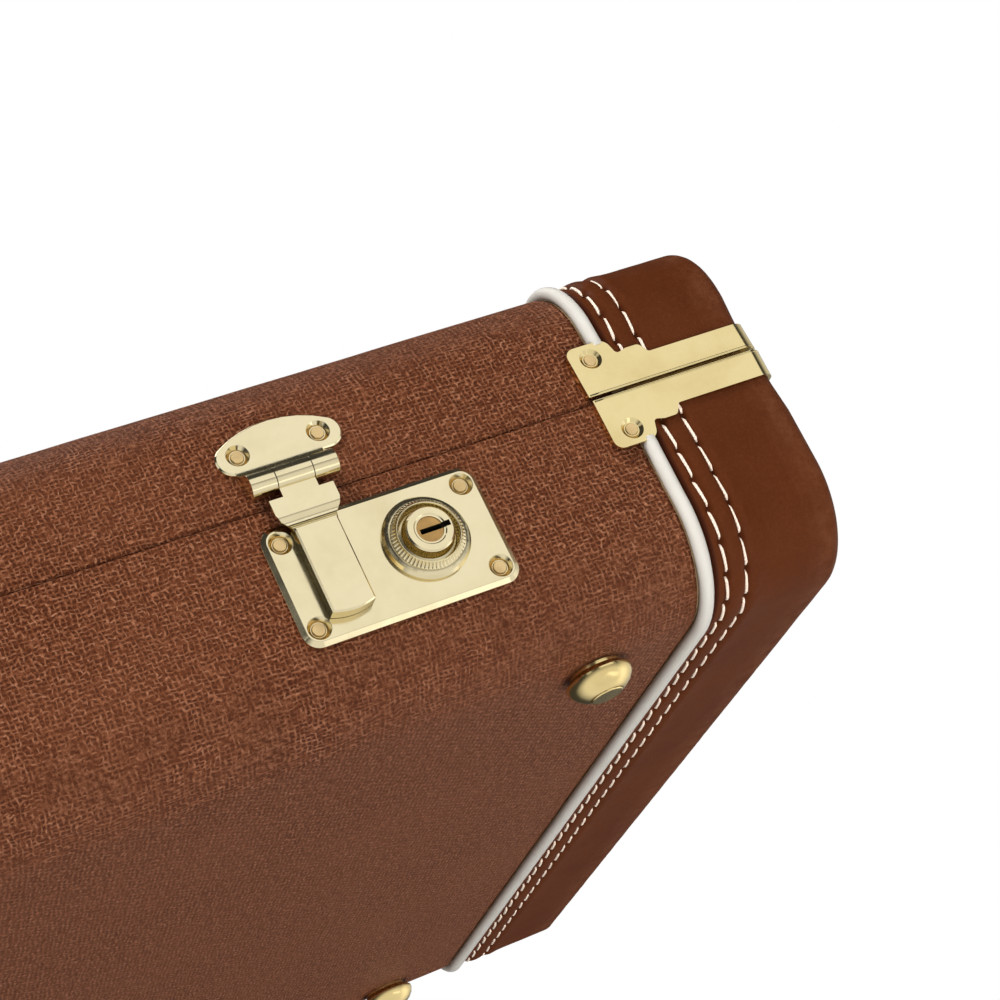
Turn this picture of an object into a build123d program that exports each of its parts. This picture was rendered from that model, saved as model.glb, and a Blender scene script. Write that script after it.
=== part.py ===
from build123d import *
import math
import os

# Rectangular hard case for an electric guitar, lying on its feet.
# +X runs along the case towards the end with the key lock, -Y is the latch and handle side,
# +Z goes from base to lid. The origin is on the ground, under the middle of the whole object.
# All sizes are in millimetres.

# ---- driving dimensions: shell ----
LENGTH = 1065.0          # over the leather ends
WIDTH = 365.0            # over the vinyl of the base
BASE_H = 60.0            # vinyl underside to seam
LID_H = 42.6             # seam to vinyl top
FOOT_H = 8.2             # ground to vinyl underside
BASE_R = 25.0            # outer radius of the lower long edges
LID_R = 22.0             # outer radius of the upper long edges
LID_SETBACK = 0.7        # lid wall behind base wall at the seam
LID_LEAN = 4.0           # inward lean of the lid's long walls, degrees
RIM = 0.3                # each half stops this far from the seam plane
PLY = 5.0
VINYL = 1.2
LEATHER = 2.6
CAP_EDGE_R = 3.5         # rounding of the leather at the case ends
PIPE_R = 2.0
PIPE_FROM_END = 41.9     # centre of the piping to the end of the case
FIT = 0.05               # hairline between pieces glued or riveted together

# ---- driving dimensions: hardware ----
SHEET = 1.0              # valance metal
VALANCE_LEN = 52.0       # tab edge to the end of the case
TAB_DROP = 15.6          # rivet tab, from the base's seam edge
LOBE_DROP = 11.2         # second lobe
BAND_DROP = 8.2          # narrow band round the end
TAB_END = 39.8           # far edge of the rivet tab, from the end of the case
LOBE_END = 31.4          # far edge of the second lobe, from the end of the case
LID_METAL_RISE = 0.9     # the lid's metal sits this much further from the seam
VALANCE_RIVET = (45.3, 11.0)      # from the end, from the base's seam edge
LID_RIVET = (46.0, 11.9)          # the same on the lid
PLATE_T = 1.8
LOCK_PLATE = (60.0, 34.0)
CATCH_PLATE = (30.0, 34.0)
PLATE_Z = -22.7          # plate centre from the seam
LOCK_FROM_END = 121.0    # lock plate centre to the end of the case
HASP_FROM_PLATE = -15.8  # hasp centre from the lock plate's centre
KEY_POS = (10.0, 1.0)    # key cylinder from the lock plate's centre
RIVET_X, RIVET_Z = 25.2, 12.15    # lock plate rivets from its centre
CATCH_RIVET_X = 10.8
INNER_LATCH_X = 150.0
BARREL_R = 3.2           # knuckles of the back hinges
HASP_BARREL_R = 3.4      # knuckles of the hasps
PIN_R = 1.2
HASP_AXIS_Z = 4.7        # from the seam
HASP_AXIS_OUT = 4.6      # out from the base wall
KNUCKLE_W = 9.8
LEAF_BARREL_W = 23.8
LEAF_T = 1.2             # hinge leaves
HASP_LEAF_T = 1.6
HASP_SHEET = 1.1
HASP_TOP_W = 17.6
TONGUE_W = 11.8
HASP_OUT = 1.3           # outer face of the hasp's top plate, from the pin
TONGUE_OUT = 1.7         # outer face of the tongue, from the pin
TONGUE_IN = -2.25        # its open underside, from the pin
TONGUE_TOP = -14.3       # upper end of the tongue, from the pin
TONGUE_END = -38.5       # lower end of the tongue, from the pin
LEAF_SHIFT = 1.8         # half-moon leaf from the middle of its barrel
LEAF_RIVETS = (11.15, 16.3)
DISH_R = 3.1             # dished rivet holes
DISC_R = 1.75            # rivet discs
KEY_R = 3.5              # key plug
SHANK_R = 7.0            # lock body behind the plate
CUP_DEPTH = 5.2          # lock body, inwards from the wall
RING_TEETH = 56
FOOT_R = 9.4
FOOT_NECK_R = 7.4
FOOT_DISC_R = 4.6        # flat rivet in the foot
FOOT_DISC_UP = 1.25      # thickness of that rivet
FOOT_FROM_END = 72.3
FOOT_FROM_WALL = 29.0
HINGE_X = (-380.0, 0.0, 380.0)
HINGE_AXIS_OUT = 3.6
HINGE_W = 46.0
HINGE_DROP = 18.0        # leaf plate, away from the seam
HINGE_RIVET_X = (-15.0, 0.0, 15.0)
HINGE_RIVET_DROP = 12.0
SIDE_KNUCKLE = 12.0
HINGE_PIN_R = 1.5
RUNNING = 0.05           # radial clearance of a pin in its knuckle

# ---- driving dimensions: handle ----
HANDLE_HALF = 58.0       # ring centre from the middle of the handle
HANDLE_AXIS_Z = -14.0    # from the seam
HANDLE_AXIS_OUT = 4.6
MOUNT_PLATE = (38.0, 20.0)
MOUNT_T = 1.6
MOUNT_RIVET_X = 14.0
RING_WIRE_R = 2.0
RING_DROP = 16.0
RING_HALF_W = 10.5
GRIP_R = 10.5
GRIP_END_R = 6.5
GRIP_DROP = 36.0
GRIP_OUT = 11.8

# ---- driving dimensions: interior ----
LINING = 1.5
SOFT_GAP = 0.3
LIP_T = 4.0
LIP_RISE = 5.0
PAD_TOP = -16.0          # body padding, from the seam
BODY_X0 = 75.0
LOWER_BOUT = (345.0, 160.0)       # centre, radius
UPPER_BOUT = (205.0, 125.0)
NECK_HALF = 38.0
BOX_X = (-200.0, 60.0)
BOX_Y0 = 78.0
BOX_WALL = 4.0
BOX_TOP = -22.0          # compartment walls, from the seam
BOX_LID_T = 4.5
BOX_GAP = 0.5            # compartment lid above its walls
BOX_OVERHANG = 2.0       # compartment lid beyond its walls
TAB_W, TAB_LEN, TAB_T = 22.0, 13.0, 1.6

# ---- derived places ----
HINGE_REACH = HINGE_AXIS_OUT + BARREL_R
HANDLE_REACH = GRIP_OUT + GRIP_R
SHELL_Y = (HANDLE_REACH - HINGE_REACH) / 2
HALF = WIDTH / 2
Y_FRONT = SHELL_Y - HALF
Y_BACK = SHELL_Y + HALF
X_END = LENGTH / 2
Z_BOTTOM = FOOT_H
Z_SEAM = FOOT_H + BASE_H
Z_TOP = Z_SEAM + LID_H
LEAN = math.radians(LID_LEAN)
WOOD_IN = VINYL + PLY
SOFT_IN = WOOD_IN + FIT + LINING + SOFT_GAP      # soft furnishings, from the vinyl
BOX_Y1 = HALF - SOFT_IN
BOX_HINGE_Y = BOX_Y1 - 3.0
X_WOOD = X_END - LEATHER
X_IN = X_WOOD - PLY
X_PIPE = X_END - PIPE_FROM_END
X_COVER = X_PIPE - PIPE_R - FIT
X_CAP = X_PIPE + PIPE_R + FIT
PROUD = LEATHER - VINYL
LOCK_X = X_END - LOCK_FROM_END
OUTER_LATCH_X = LOCK_X + HASP_FROM_PLATE
LATCH_X = (OUTER_LATCH_X, INNER_LATCH_X, -INNER_LATCH_X, -OUTER_LATCH_X)


# ---- frames on the walls: local X along the case, local Y up, local Z outwards ----
def front_frame(x, z):
    return Plane(origin=(x, Y_FRONT, Z_SEAM + z), x_dir=(1, 0, 0), z_dir=(0, -1, 0))


def back_frame(x, z):
    return Plane(origin=(x, Y_BACK, Z_SEAM + z), x_dir=(-1, 0, 0), z_dir=(0, 1, 0))


def lid_front_frame(x):
    return Plane(origin=(x, Y_FRONT + LID_SETBACK, Z_SEAM), x_dir=(1, 0, 0),
                 z_dir=(0, -math.cos(LEAN), math.sin(LEAN)))


def lid_back_frame(x):
    return Plane(origin=(x, Y_BACK - LID_SETBACK, Z_SEAM), x_dir=(-1, 0, 0),
                 z_dir=(0, math.cos(LEAN), math.sin(LEAN)))


def hinge_lid_frame(x):
    """Upright frame at the foot of the lid's back wall, where the hinge leaves are."""
    return Plane(origin=(x, Y_BACK - LID_SETBACK, Z_SEAM), x_dir=(-1, 0, 0), z_dir=(0, 1, 0))


# ---- cross-sections of the two halves ----
def base_path(inset, rim=RIM):
    """Open outline of the base: down the front wall, along the bottom, up the back wall."""
    y = HALF - inset
    top = Z_SEAM - rim
    low = Z_BOTTOM + inset
    corners = [(0, SHELL_Y - y, top), (0, SHELL_Y - y, low), (0, SHELL_Y + y, low), (0, SHELL_Y + y, top)]
    return FilletPolyline(*corners, radius=BASE_R - inset)


def lid_path(inset, rim=RIM):
    """Open outline of the lid: up the leaning front wall, along the top, down the back wall."""
    high = Z_TOP - inset
    foot = HALF - LID_SETBACK - inset / math.cos(LEAN)
    y_low = foot - rim * math.tan(LEAN)
    y_high = foot - (high - Z_SEAM) * math.tan(LEAN)
    low = Z_SEAM + rim
    corners = [(0, SHELL_Y - y_low, low), (0, SHELL_Y - y_high, high),
               (0, SHELL_Y + y_high, high), (0, SHELL_Y + y_low, low)]
    return FilletPolyline(*corners, radius=LID_R - inset)


def bar(path_of, inset, x0, x1, rim=RIM):
    """The filled cross-section at an inset, from x0 to x1."""
    path = path_of(inset, rim)
    face = make_face([*path.edges(), Line(path @ 1, path @ 0)])
    return Pos(x0, 0, 0) * extrude(face, x1 - x0, dir=(1, 0, 0))


def slab(x0, x1, y0, y1, z0, z1):
    return Pos((x0 + x1) / 2, (y0 + y1) / 2, (z0 + z1) / 2) * Box(x1 - x0, y1 - y0, z1 - z0)


def group(solids):
    return Compound(children=list(solids))


# ---- plywood ----
def plywood(path_of, radius):
    """Flat panel, two bent long walls and two ends of one half."""
    tube = bar(path_of, VINYL, -X_IN + FIT, X_IN - FIT) - bar(path_of, WOOD_IN, -X_END, X_END)
    split = HALF - radius - (LID_SETBACK + LID_H * math.tan(LEAN) if path_of is lid_path else 0)
    panel = tube & slab(-X_END, X_END, SHELL_Y - split, SHELL_Y + split, 0, Z_TOP)
    front = tube & slab(-X_END, X_END, Y_FRONT, SHELL_Y - split, 0, Z_TOP)
    back = tube & slab(-X_END, X_END, SHELL_Y + split, Y_BACK, 0, Z_TOP)
    left = bar(path_of, VINYL + FIT, -X_WOOD, -X_IN)
    right = bar(path_of, VINYL + FIT, X_IN, X_WOOD)
    return panel, front, back, left, right


# ---- outer skins ----
def cover(path_of):
    return bar(path_of, 0, -X_COVER, X_COVER) - bar(path_of, VINYL - FIT, -X_END, X_END)


def metal_rim(path_of):
    """Where the valance's seam edge is."""
    return RIM if path_of is base_path else RIM + LID_METAL_RISE


def end_cap(path_of, side):
    rim = metal_rim(path_of) + SHEET
    outer = bar(path_of, -PROUD, X_CAP, X_END, rim)
    far = outer.faces().sort_by(Axis.X)[-1]
    rim_z = far.edges().sort_by(Axis.Z)[-1 if path_of is base_path else 0]
    round_edges = [e for e in far.edges() if e != rim_z]
    outer = fillet(round_edges, CAP_EDGE_R)
    inner = bar(path_of, VINYL - FIT, 0, X_WOOD + FIT, 0)
    cap = outer - inner
    return cap if side > 0 else mirror(cap, Plane.YZ)


def piping(path_of, side):
    start = metal_rim(path_of) + TAB_DROP + FIT
    path = Pos(side * X_PIPE, 0, 0) * path_of(VINYL - PIPE_R - FIT, start)
    section = Plane(origin=path @ 0, z_dir=path % 0) * Circle(PIPE_R)
    return sweep(section, path=path)


# ---- valances: metal at the seam, riveted tab on both long walls, band round the end ----
def valance_outline(path_of):
    """Side view of the valance, from the rivet tab to the end of the case."""
    sign = -1 if path_of is base_path else 1
    rise = metal_rim(path_of) - RIM

    def pt(from_end, from_seam):
        return (X_END - from_end, Z_SEAM + sign * (from_seam + rise))

    notch = TAB_END - 1.4
    beyond = -4
    corners = [pt(VALANCE_LEN, RIM), pt(VALANCE_LEN, TAB_DROP), pt(TAB_END, TAB_DROP),
               pt(notch, LOBE_DROP - 0.8), pt(notch - 3.0, LOBE_DROP), pt(LOBE_END, LOBE_DROP),
               pt(LOBE_END - 1.8, BAND_DROP), pt(beyond, BAND_DROP), pt(beyond, RIM)]
    radii = [2.6, 3.0, 1.0, 1.5, 1.6, 0.9]
    path = FilletPolyline(*corners[:-1], radius=radii)
    face = make_face([*path.edges(), Line(path @ 1, corners[-1]), Line(corners[-1], path @ 0)])
    return extrude(Plane.XZ * face, WIDTH, both=True)


def rounded_end(path_of, inset, x1, radius, rim):
    solid = bar(path_of, inset, X_END - VALANCE_LEN - 10, x1, rim)
    upright = solid.faces().sort_by(Axis.X)[-1].edges().filter_by(
        lambda e: abs(e.tangent_at(0.5).Z) > 0.9)
    return fillet(upright, radius)


def valance(path_of, side):
    sign = -1 if path_of is base_path else 1
    rim = metal_rim(path_of)
    under = PROUD + 2 * FIT
    outer = rounded_end(path_of, -under - SHEET, X_END + 2 * FIT + SHEET, CAP_EDGE_R + 0.1 + SHEET, rim)
    inner = rounded_end(path_of, -under, X_END + 2 * FIT, CAP_EDGE_R + 0.1, 0)
    ring = (outer - inner) & valance_outline(path_of)
    lip_z = sorted((Z_SEAM + sign * rim, Z_SEAM + sign * (rim + SHEET - FIT)))
    lip = (outer - bar(path_of, VINYL - FIT, 0, X_WOOD + FIT, 0)) & slab(
        X_CAP, X_END + 5, Y_FRONT - 9, Y_BACK + 9, *lip_z)
    tab_z = sorted((Z_SEAM + sign * (rim + 0.5), Z_SEAM + sign * (rim - RIM + TAB_DROP - 2.4)))
    tab_edge = (outer - bar(path_of, -FIT, 0, X_END, 0)) & slab(
        X_END - VALANCE_LEN, X_END - VALANCE_LEN + SHEET, Y_FRONT - 9, Y_BACK + 9, *tab_z)
    shape = ring + lip + tab_edge
    for place in valance_rivet_places(path_of, 1):
        shape -= place * rivet_dish(SHEET)
    return shape if side > 0 else mirror(shape, Plane.YZ)


def valance_rivet_places(path_of, side):
    """Places of the valance rivets of one end, on the front and on the back wall."""
    if path_of is base_path:
        from_end, from_seam = VALANCE_RIVET
        x = side * (X_END - from_end)
        walls = (front_frame(x, -from_seam), back_frame(x, -from_seam))
        return [wall * Pos(0, 0, PROUD + 2 * FIT) for wall in walls]
    from_end, from_seam = LID_RIVET
    x = side * (X_END - from_end)
    return [wall * Pos(0, from_seam, PROUD + 2 * FIT) for wall in (lid_front_frame(x), lid_back_frame(x))]


# ---- rivets: a flat-bottomed dish in the sheet with the rivet's disc in it ----
def rivet_dish(sheet):
    """Cutter for a dished hole in a sheet that lies from 0 to sheet on local Z."""
    cone = Solid.make_cone(DISC_R + 0.35, DISH_R, sheet * 0.8, Plane.XY.offset(sheet * 0.2))
    hole = Pos(0, 0, sheet * 0.1) * Cylinder(DISC_R + FIT, sheet * 0.4)
    return cone + hole


def rivet(sheet, shank=4.0):
    """Rivet for such a dish; its shank goes down through the skin into the plywood."""
    disc = Pos(0, 0, sheet * 0.25) * Cylinder(DISC_R, sheet * 0.5)
    disc = chamfer(disc.faces().sort_by(Axis.Z)[-1].edges(), 0.15)
    shank_top = sheet * 0.1
    return disc + Pos(0, 0, (shank_top - shank) / 2) * Cylinder(1.3, shank_top + shank)


# ---- plates on the base ----
def plate(size, rivets, extra_cut=None):
    """Pan-shaped plate with bevelled edges, underside at local Z 0."""
    body = extrude(RectangleRounded(*size, 4.5), PLATE_T)
    body = chamfer(body.faces().sort_by(Axis.Z)[-1].edges(), 0.9, 1.3)
    for x, y in rivets:
        body -= Pos(x, y, 0) * rivet_dish(PLATE_T)
    if extra_cut:
        body -= extra_cut
    return body


def corners(x, y):
    return [(sx * x, sy * y) for sx in (-1, 1) for sy in (-1, 1)]


# ---- key lock, in the lock plate's frame with the key cylinder on local Z ----
def turned(points):
    """Body of revolution about local Z from (radius, height) points."""
    face = make_face(Polyline(*[(r, 0, z) for r, z in points], close=True))
    return revolve(face, Axis.Z)


def lock_body():
    top = PLATE_T + FIT
    points = [(SHANK_R, -CUP_DEPTH), (SHANK_R, top), (11.5, top), (11.5, top + 0.9), (10.9, top + 1.8),
              (9.9, top + 2.3), (7.9, top + 2.3), (7.9, top + 2.7), (6.9, top + 3.0), (6.3, top + 4.6),
              (6.3, top + 5.6), (5.9, top + 6.1), (4.3, top + 6.1), (4.0, top + 5.8),
              (KEY_R + RUNNING, top + 5.8), (KEY_R + RUNNING, -1.2), (5.6, -1.2), (5.6, -CUP_DEPTH)]
    key_notch = Pos(4.2, 0, top + 5.3) * Box(2.6, 1.5, 2.2)
    return turned(points) - key_notch


def lock_ring():
    low = PLATE_T + 2 * FIT + 2.3
    high = low + 2.0
    ring = turned([(8.0, low), (9.7, low), (9.7, low + 0.9), (8.7, high), (8.3, high), (8.0, high - 0.4)])
    groove = Pos(9.75, 0, low + 1.3) * Rot(0, -40, 0) * Box(0.5, 0.42, 3.2)
    return ring - [Rot(0, 0, 360 / RING_TEETH * i) * groove for i in range(RING_TEETH)]


def lock_plug():
    high = PLATE_T + FIT + 5.5
    low = -1.4
    body = Pos(0, 0, (high + low) / 2) * Cylinder(KEY_R, high - low)
    slot = Pos(0.5, 0, high - 2) * Box(6.2, 1.4, 4.2)
    return body - slot


def lock_cam():
    """Lever behind the plug that catches the latch."""
    arm = extrude(SlotOverall(8.4, 3.2), 1.6)
    return Pos(1.0, 0, -3.0) * arm


# ---- hasp latch, in the frame of its pin: local X along the pin, Y up, Z outwards ----
def hasp_outline():
    """Neck, wide top plate, S-shaped shoulders and the tongue, as seen from outside."""
    neck, top, tongue = KNUCKLE_W / 2, HASP_TOP_W / 2, TONGUE_W / 2
    half = [(neck, 0), (neck, -5.5), (top, -5.5), (top, -9.7), (top - 0.7, -11.5), (tongue + 0.5, -13.5),
            (tongue, -15.3), (tongue, TONGUE_END)]
    other = [(-x, y) for x, y in reversed(half)]
    end = ThreePointArc(half[-1], (0, TONGUE_END - 1.1), other[0])
    return make_face([*Polyline(*half).edges(), end, *Polyline(*other).edges(), Line(other[-1], half[0])])


def hasp():
    outline = hasp_outline()
    wall = HASP_SHEET
    sheet = Pos(0, 0, HASP_OUT - wall) * extrude(outline, wall)
    tongue_face = outline & Pos(0, TONGUE_TOP - 20, 0) * Rectangle(40, 40)
    tongue = Pos(0, 0, TONGUE_IN) * extrude(tongue_face, TONGUE_OUT - TONGUE_IN)
    tongue = chamfer(tongue.faces().sort_by(Axis.Z)[-1].edges(), 0.45)
    hollow_len = TONGUE_TOP - TONGUE_END - 2 * wall
    hollow = Pos(0, TONGUE_TOP - wall - hollow_len / 2, (TONGUE_IN + TONGUE_OUT - wall) / 2) * Box(
        TONGUE_W - 2 * wall, hollow_len, TONGUE_OUT - wall - TONGUE_IN)
    knuckle = Rot(0, 90, 0) * Cylinder(HASP_BARREL_R, KNUCKLE_W)
    bore = Rot(0, 90, 0) * Cylinder(PIN_R + RUNNING, 40)
    return sheet + (tongue - hollow) + knuckle - bore


def hasp_leaf():
    """Half-moon leaf on the lid with the two outer knuckles, in the lid's front frame."""
    bottom, top, end_x, shoulder, side = 11.0, 23.9, 12.8, (15.5, 19.4), (17.25, 15.0)
    left_shoulder = (-shoulder[0], shoulder[1])
    edge = [Line((-end_x, bottom), (end_x, bottom)),
            ThreePointArc((end_x, bottom), side, shoulder),
            ThreePointArc(shoulder, (0, top), left_shoulder),
            ThreePointArc(left_shoulder, (-side[0], side[1]), (-end_x, bottom))]
    leaf = extrude(make_face(edge), HASP_LEAF_T)
    leaf = chamfer(leaf.faces().sort_by(Axis.Z)[-1].edges(), 0.45)
    for sx in (-1, 1):
        leaf -= Pos(sx * LEAF_RIVETS[0], LEAF_RIVETS[1], 0) * rivet_dish(HASP_LEAF_T)
    out = HASP_AXIS_OUT + LID_SETBACK
    along = Pos(0, HASP_AXIS_Z, out) * Rot(0, 90, 0)
    barrel = along * Cylinder(HASP_BARREL_R, LEAF_BARREL_W)
    tip_y, tip_z = HASP_AXIS_Z + HASP_BARREL_R * 0.8, out + HASP_BARREL_R * 0.6
    web = make_face(Polyline((bottom + 1, 0), (bottom + 1, HASP_LEAF_T), (bottom - 0.4, HASP_LEAF_T + 0.3),
                             (bottom - 1.5, HASP_LEAF_T + 1.9), (tip_y, tip_z), (HASP_AXIS_Z, out),
                             (HASP_AXIS_Z, out - 2.4), (bottom - 3.4, HASP_LEAF_T * 0.5),
                             (bottom - 1.6, 0), close=True))
    web = extrude(Plane(origin=(-LEAF_BARREL_W / 2, 0, 0), x_dir=(0, 1, 0), z_dir=(1, 0, 0)) * web,
                  LEAF_BARREL_W)
    gap = along * Cylinder(HASP_BARREL_R + 0.35, KNUCKLE_W + 0.4)
    low = Pos(0, HASP_AXIS_Z - 6, out) * Box(KNUCKLE_W + 0.4, 12, 12)
    bore = along * Cylinder(PIN_R + FIT, 40)
    return Pos(LEAF_SHIFT, 0, 0) * leaf + (barrel + web - gap - low) - bore


def lid_axis_point(x):
    """Pin centre of a hasp, from the lid's leaning frame."""
    spot = lid_front_frame(x) * Pos(0, HASP_AXIS_Z, HASP_AXIS_OUT + LID_SETBACK)
    return spot.position


def hasp_frame(x):
    return Plane(origin=lid_axis_point(x), x_dir=(1, 0, 0), z_dir=(0, -1, 0))


# ---- hinges on the back, in the frame of the back wall at the seam ----
def hinge_leaf(sign, wall_out, knuckles, others):
    """One hinge leaf above (+1) or below (-1) the seam: plate, webs and knuckles on the axis."""
    length, drop, leaf_t = HINGE_W, HINGE_DROP, LEAF_T
    out = HINGE_AXIS_OUT - wall_out
    shape = Pos(0, sign * (1.2 + drop / 2), leaf_t / 2) * Box(length, drop, leaf_t)
    shape = fillet(shape.edges().filter_by(Axis.Z).sort_by(Axis.Y)[-2 if sign > 0 else 0:][:2], 3.0)
    for x, width in others:
        shape -= Pos(x, 0, out) * Rot(0, 90, 0) * Cylinder(BARREL_R + 0.3, width + 0.4)
    for x, width in knuckles:
        shape += Pos(x, 0, out) * Rot(0, 90, 0) * Cylinder(BARREL_R, width)
        shape += Pos(x, sign * 1.7, out / 2) * Box(width, 1.6, out)
    shape -= Pos(0, 0, out) * Rot(0, 90, 0) * Cylinder(HINGE_PIN_R + RUNNING, 100)
    for x in HINGE_RIVET_X:
        shape -= Pos(x, sign * HINGE_RIVET_DROP, 0) * rivet_dish(leaf_t)
    return shape


def hinge_parts():
    side_x = (HINGE_W - SIDE_KNUCKLE) / 2
    middle = [(0, HINGE_W - 2 * SIDE_KNUCKLE - 0.6)]
    sides = [(-side_x, SIDE_KNUCKLE), (side_x, SIDE_KNUCKLE)]
    base_leaf = hinge_leaf(-1, 0, sides, middle)
    lid_leaf = hinge_leaf(1, -LID_SETBACK, middle, sides)
    pin = Pos(0, 0, HINGE_AXIS_OUT) * Rot(0, 90, 0) * Cylinder(HINGE_PIN_R, HINGE_W + 1)
    return base_leaf, lid_leaf, pin


# ---- feet ----
def foot():
    """Pressed mushroom foot, standing down from the bottom; local Z points down."""
    seat = FOOT_H - FOOT_DISC_UP - FIT
    dome = [(FOOT_NECK_R, 0), (FOOT_NECK_R, 0.9), (FOOT_NECK_R + 0.9, 1.5), (FOOT_R, 2.4), (FOOT_R, 3.4),
            (FOOT_R - 0.7, 4.9), (FOOT_R - 2.0, 6.3), (FOOT_R - 3.5, 7.3), (FOOT_DISC_R + 0.4, 7.7)]
    return turned([(0, 0), *dome, (FOOT_DISC_R + 0.15, 7.75), (FOOT_DISC_R + 0.15, seat), (0, seat)])


def foot_rivet():
    disc = Pos(0, 0, FOOT_H - FOOT_DISC_UP / 2) * Cylinder(FOOT_DISC_R, FOOT_DISC_UP)
    return chamfer(disc.faces().sort_by(Axis.Z)[-1].edges(), 0.25)


# ---- handle ----
def handle_mount():
    """Riveted plate with a saddle that the ring's bar turns in, in the front frame at its axis."""
    body = extrude(RectangleRounded(*MOUNT_PLATE, 4), MOUNT_T)
    body = chamfer(body.faces().sort_by(Axis.Z)[-1].edges(), 0.5)
    saddle = Rot(0, 90, 0) * Cylinder(RING_WIRE_R + 1.9, 15)
    block = Box(15, 2 * (RING_WIRE_R + 1.9), HANDLE_AXIS_OUT)
    body += Pos(0, 0, HANDLE_AXIS_OUT) * saddle + Pos(0, 0, HANDLE_AXIS_OUT / 2) * block
    for sx in (-1, 1):
        body -= Pos(sx * MOUNT_RIVET_X, 0, 0) * rivet_dish(MOUNT_T)
    return body - Pos(0, 0, HANDLE_AXIS_OUT) * Rot(0, 90, 0) * Cylinder(RING_WIRE_R + RUNNING, 60)


def handle_ring():
    """Rectangular wire ring hanging from its upper bar, which lies on the handle's axis."""
    w, drop = RING_HALF_W, RING_DROP
    loop = FilletPolyline((w, 0), (w, -drop), (-w, -drop), (-w, 0), radius=3.2, close=True)
    section = Plane(origin=loop @ 0, z_dir=loop % 0) * Circle(RING_WIRE_R)
    return sweep(section, path=loop)


def handle_grip():
    """Padded grip with two turned-up ends that wrap round the rings' lower bars."""
    out = GRIP_OUT - HANDLE_AXIS_OUT
    turn = 12.0
    top = -RING_DROP - 1.0
    path = FilletPolyline((-HANDLE_HALF, top, out), (-HANDLE_HALF, -GRIP_DROP, out),
                          (HANDLE_HALF, -GRIP_DROP, out), (HANDLE_HALF, top, out), radius=turn)
    tube = sweep(Plane(origin=path @ 0, z_dir=path % 0) * Circle(GRIP_END_R), path=path)
    straight = 2 * (HANDLE_HALF - turn)
    middle = Pos(0, -GRIP_DROP, out) * Rot(0, 90, 0) * Cylinder(GRIP_R, straight - 8)
    tabs = [Pos(sx * HANDLE_HALF, top, out / 2 + 1.5) * Box(2 * RING_HALF_W - 7, 12, out + 5)
            for sx in (-1, 1)]
    tabs = [fillet(tab.edges().filter_by(Axis.X), 3.0) for tab in tabs]
    shape = tube + middle + tabs
    for sx in (-1, 1):
        bar_hole = Pos(sx * HANDLE_HALF, -RING_DROP, 0) * Rot(0, 90, 0) * Cylinder(RING_WIRE_R + 0.15, 60)
        shape -= bar_hole
    return shape


def handle_frame(x):
    return front_frame(x, HANDLE_AXIS_Z) * Pos(0, 0, HANDLE_AXIS_OUT)


# ---- interior ----
def lining(path_of):
    """Plush lining on the inside of one half."""
    rim = 15.0 if path_of is base_path else 7.0
    out = WOOD_IN + FIT
    skin = bar(path_of, out, -X_IN + FIT, X_IN - FIT, rim) - bar(
        path_of, out + LINING, -X_IN + FIT + LINING, X_IN - FIT - LINING, 0)
    return skin


def plan_ring(x_out, y_out, x_in, y_in, z0, z1):
    return slab(-x_out, x_out, SHELL_Y - y_out, SHELL_Y + y_out, z0, z1) - slab(
        -x_in, x_in, SHELL_Y - y_in, SHELL_Y + y_in, z0, z1)


def base_lip():
    """Wooden rabbet round the mouth of the base; its upper part enters the lid."""
    y_in = HALF - WOOD_IN - LIP_T
    x_in = X_IN - LIP_T
    lower = plan_ring(X_IN - FIT, HALF - WOOD_IN - FIT, x_in, y_in, Z_SEAM - 14, Z_SEAM - RIM)
    upper = plan_ring(x_in + 1.6, y_in + 1.6, x_in, y_in, Z_SEAM - 14, Z_SEAM + LIP_RISE)
    return lower + upper


def body_pad():
    """Padding round the guitar's body, with a pocket of two bouts and the neck's way out."""
    block = bar(base_path, SOFT_IN, BODY_X0, X_IN - FIT - LINING - SOFT_GAP, -PAD_TOP)
    depth = 2 * BASE_H
    pocket = Pos(LOWER_BOUT[0], SHELL_Y, Z_SEAM) * Cylinder(LOWER_BOUT[1], depth)
    pocket += Pos(UPPER_BOUT[0], SHELL_Y, Z_SEAM) * Cylinder(UPPER_BOUT[1], depth)
    neck = slab(0, UPPER_BOUT[0], SHELL_Y - NECK_HALF, SHELL_Y + NECK_HALF, 0, Z_TOP)
    return block - pocket - neck


def neck_cradle():
    low = Z_BOTTOM + SOFT_IN
    high = Z_SEAM - 18
    block = slab(-262, -212, SHELL_Y - 74, SHELL_Y + 74, low, high)
    block = fillet(block.edges().filter_by(Axis.X).sort_by(Axis.Z)[-2:], 6)
    notch = slab(-270, -200, SHELL_Y - 29, SHELL_Y + 29, high - 20, high + 10)
    notch = fillet(notch.edges().filter_by(Axis.X).sort_by(Axis.Z)[:2], 10)
    return block - notch


def compartment_walls():
    low = Z_BOTTOM + SOFT_IN
    high = Z_SEAM + BOX_TOP
    outline = slab(*BOX_X, SHELL_Y + BOX_Y0, SHELL_Y + BOX_Y1, low, high)
    room = slab(BOX_X[0] + BOX_WALL, BOX_X[1] - BOX_WALL, SHELL_Y + BOX_Y0 + BOX_WALL, SHELL_Y + HALF, 0, Z_TOP)
    inside = bar(base_path, SOFT_IN, -X_IN, X_IN, 0)
    return (outline - room) & inside


def compartment_lid():
    low = Z_SEAM + BOX_TOP + BOX_GAP
    panel = slab(BOX_X[0] - BOX_OVERHANG, BOX_X[1] + BOX_OVERHANG, SHELL_Y + BOX_Y0 - BOX_OVERHANG,
                 SHELL_Y + BOX_HINGE_Y, low, low + BOX_LID_T)
    panel = fillet(panel.edges().filter_by(Axis.Z).sort_by(Axis.Y)[:2], 6)
    return fillet(panel.faces().sort_by(Axis.Z)[-1].edges(), 1.4)


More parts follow.
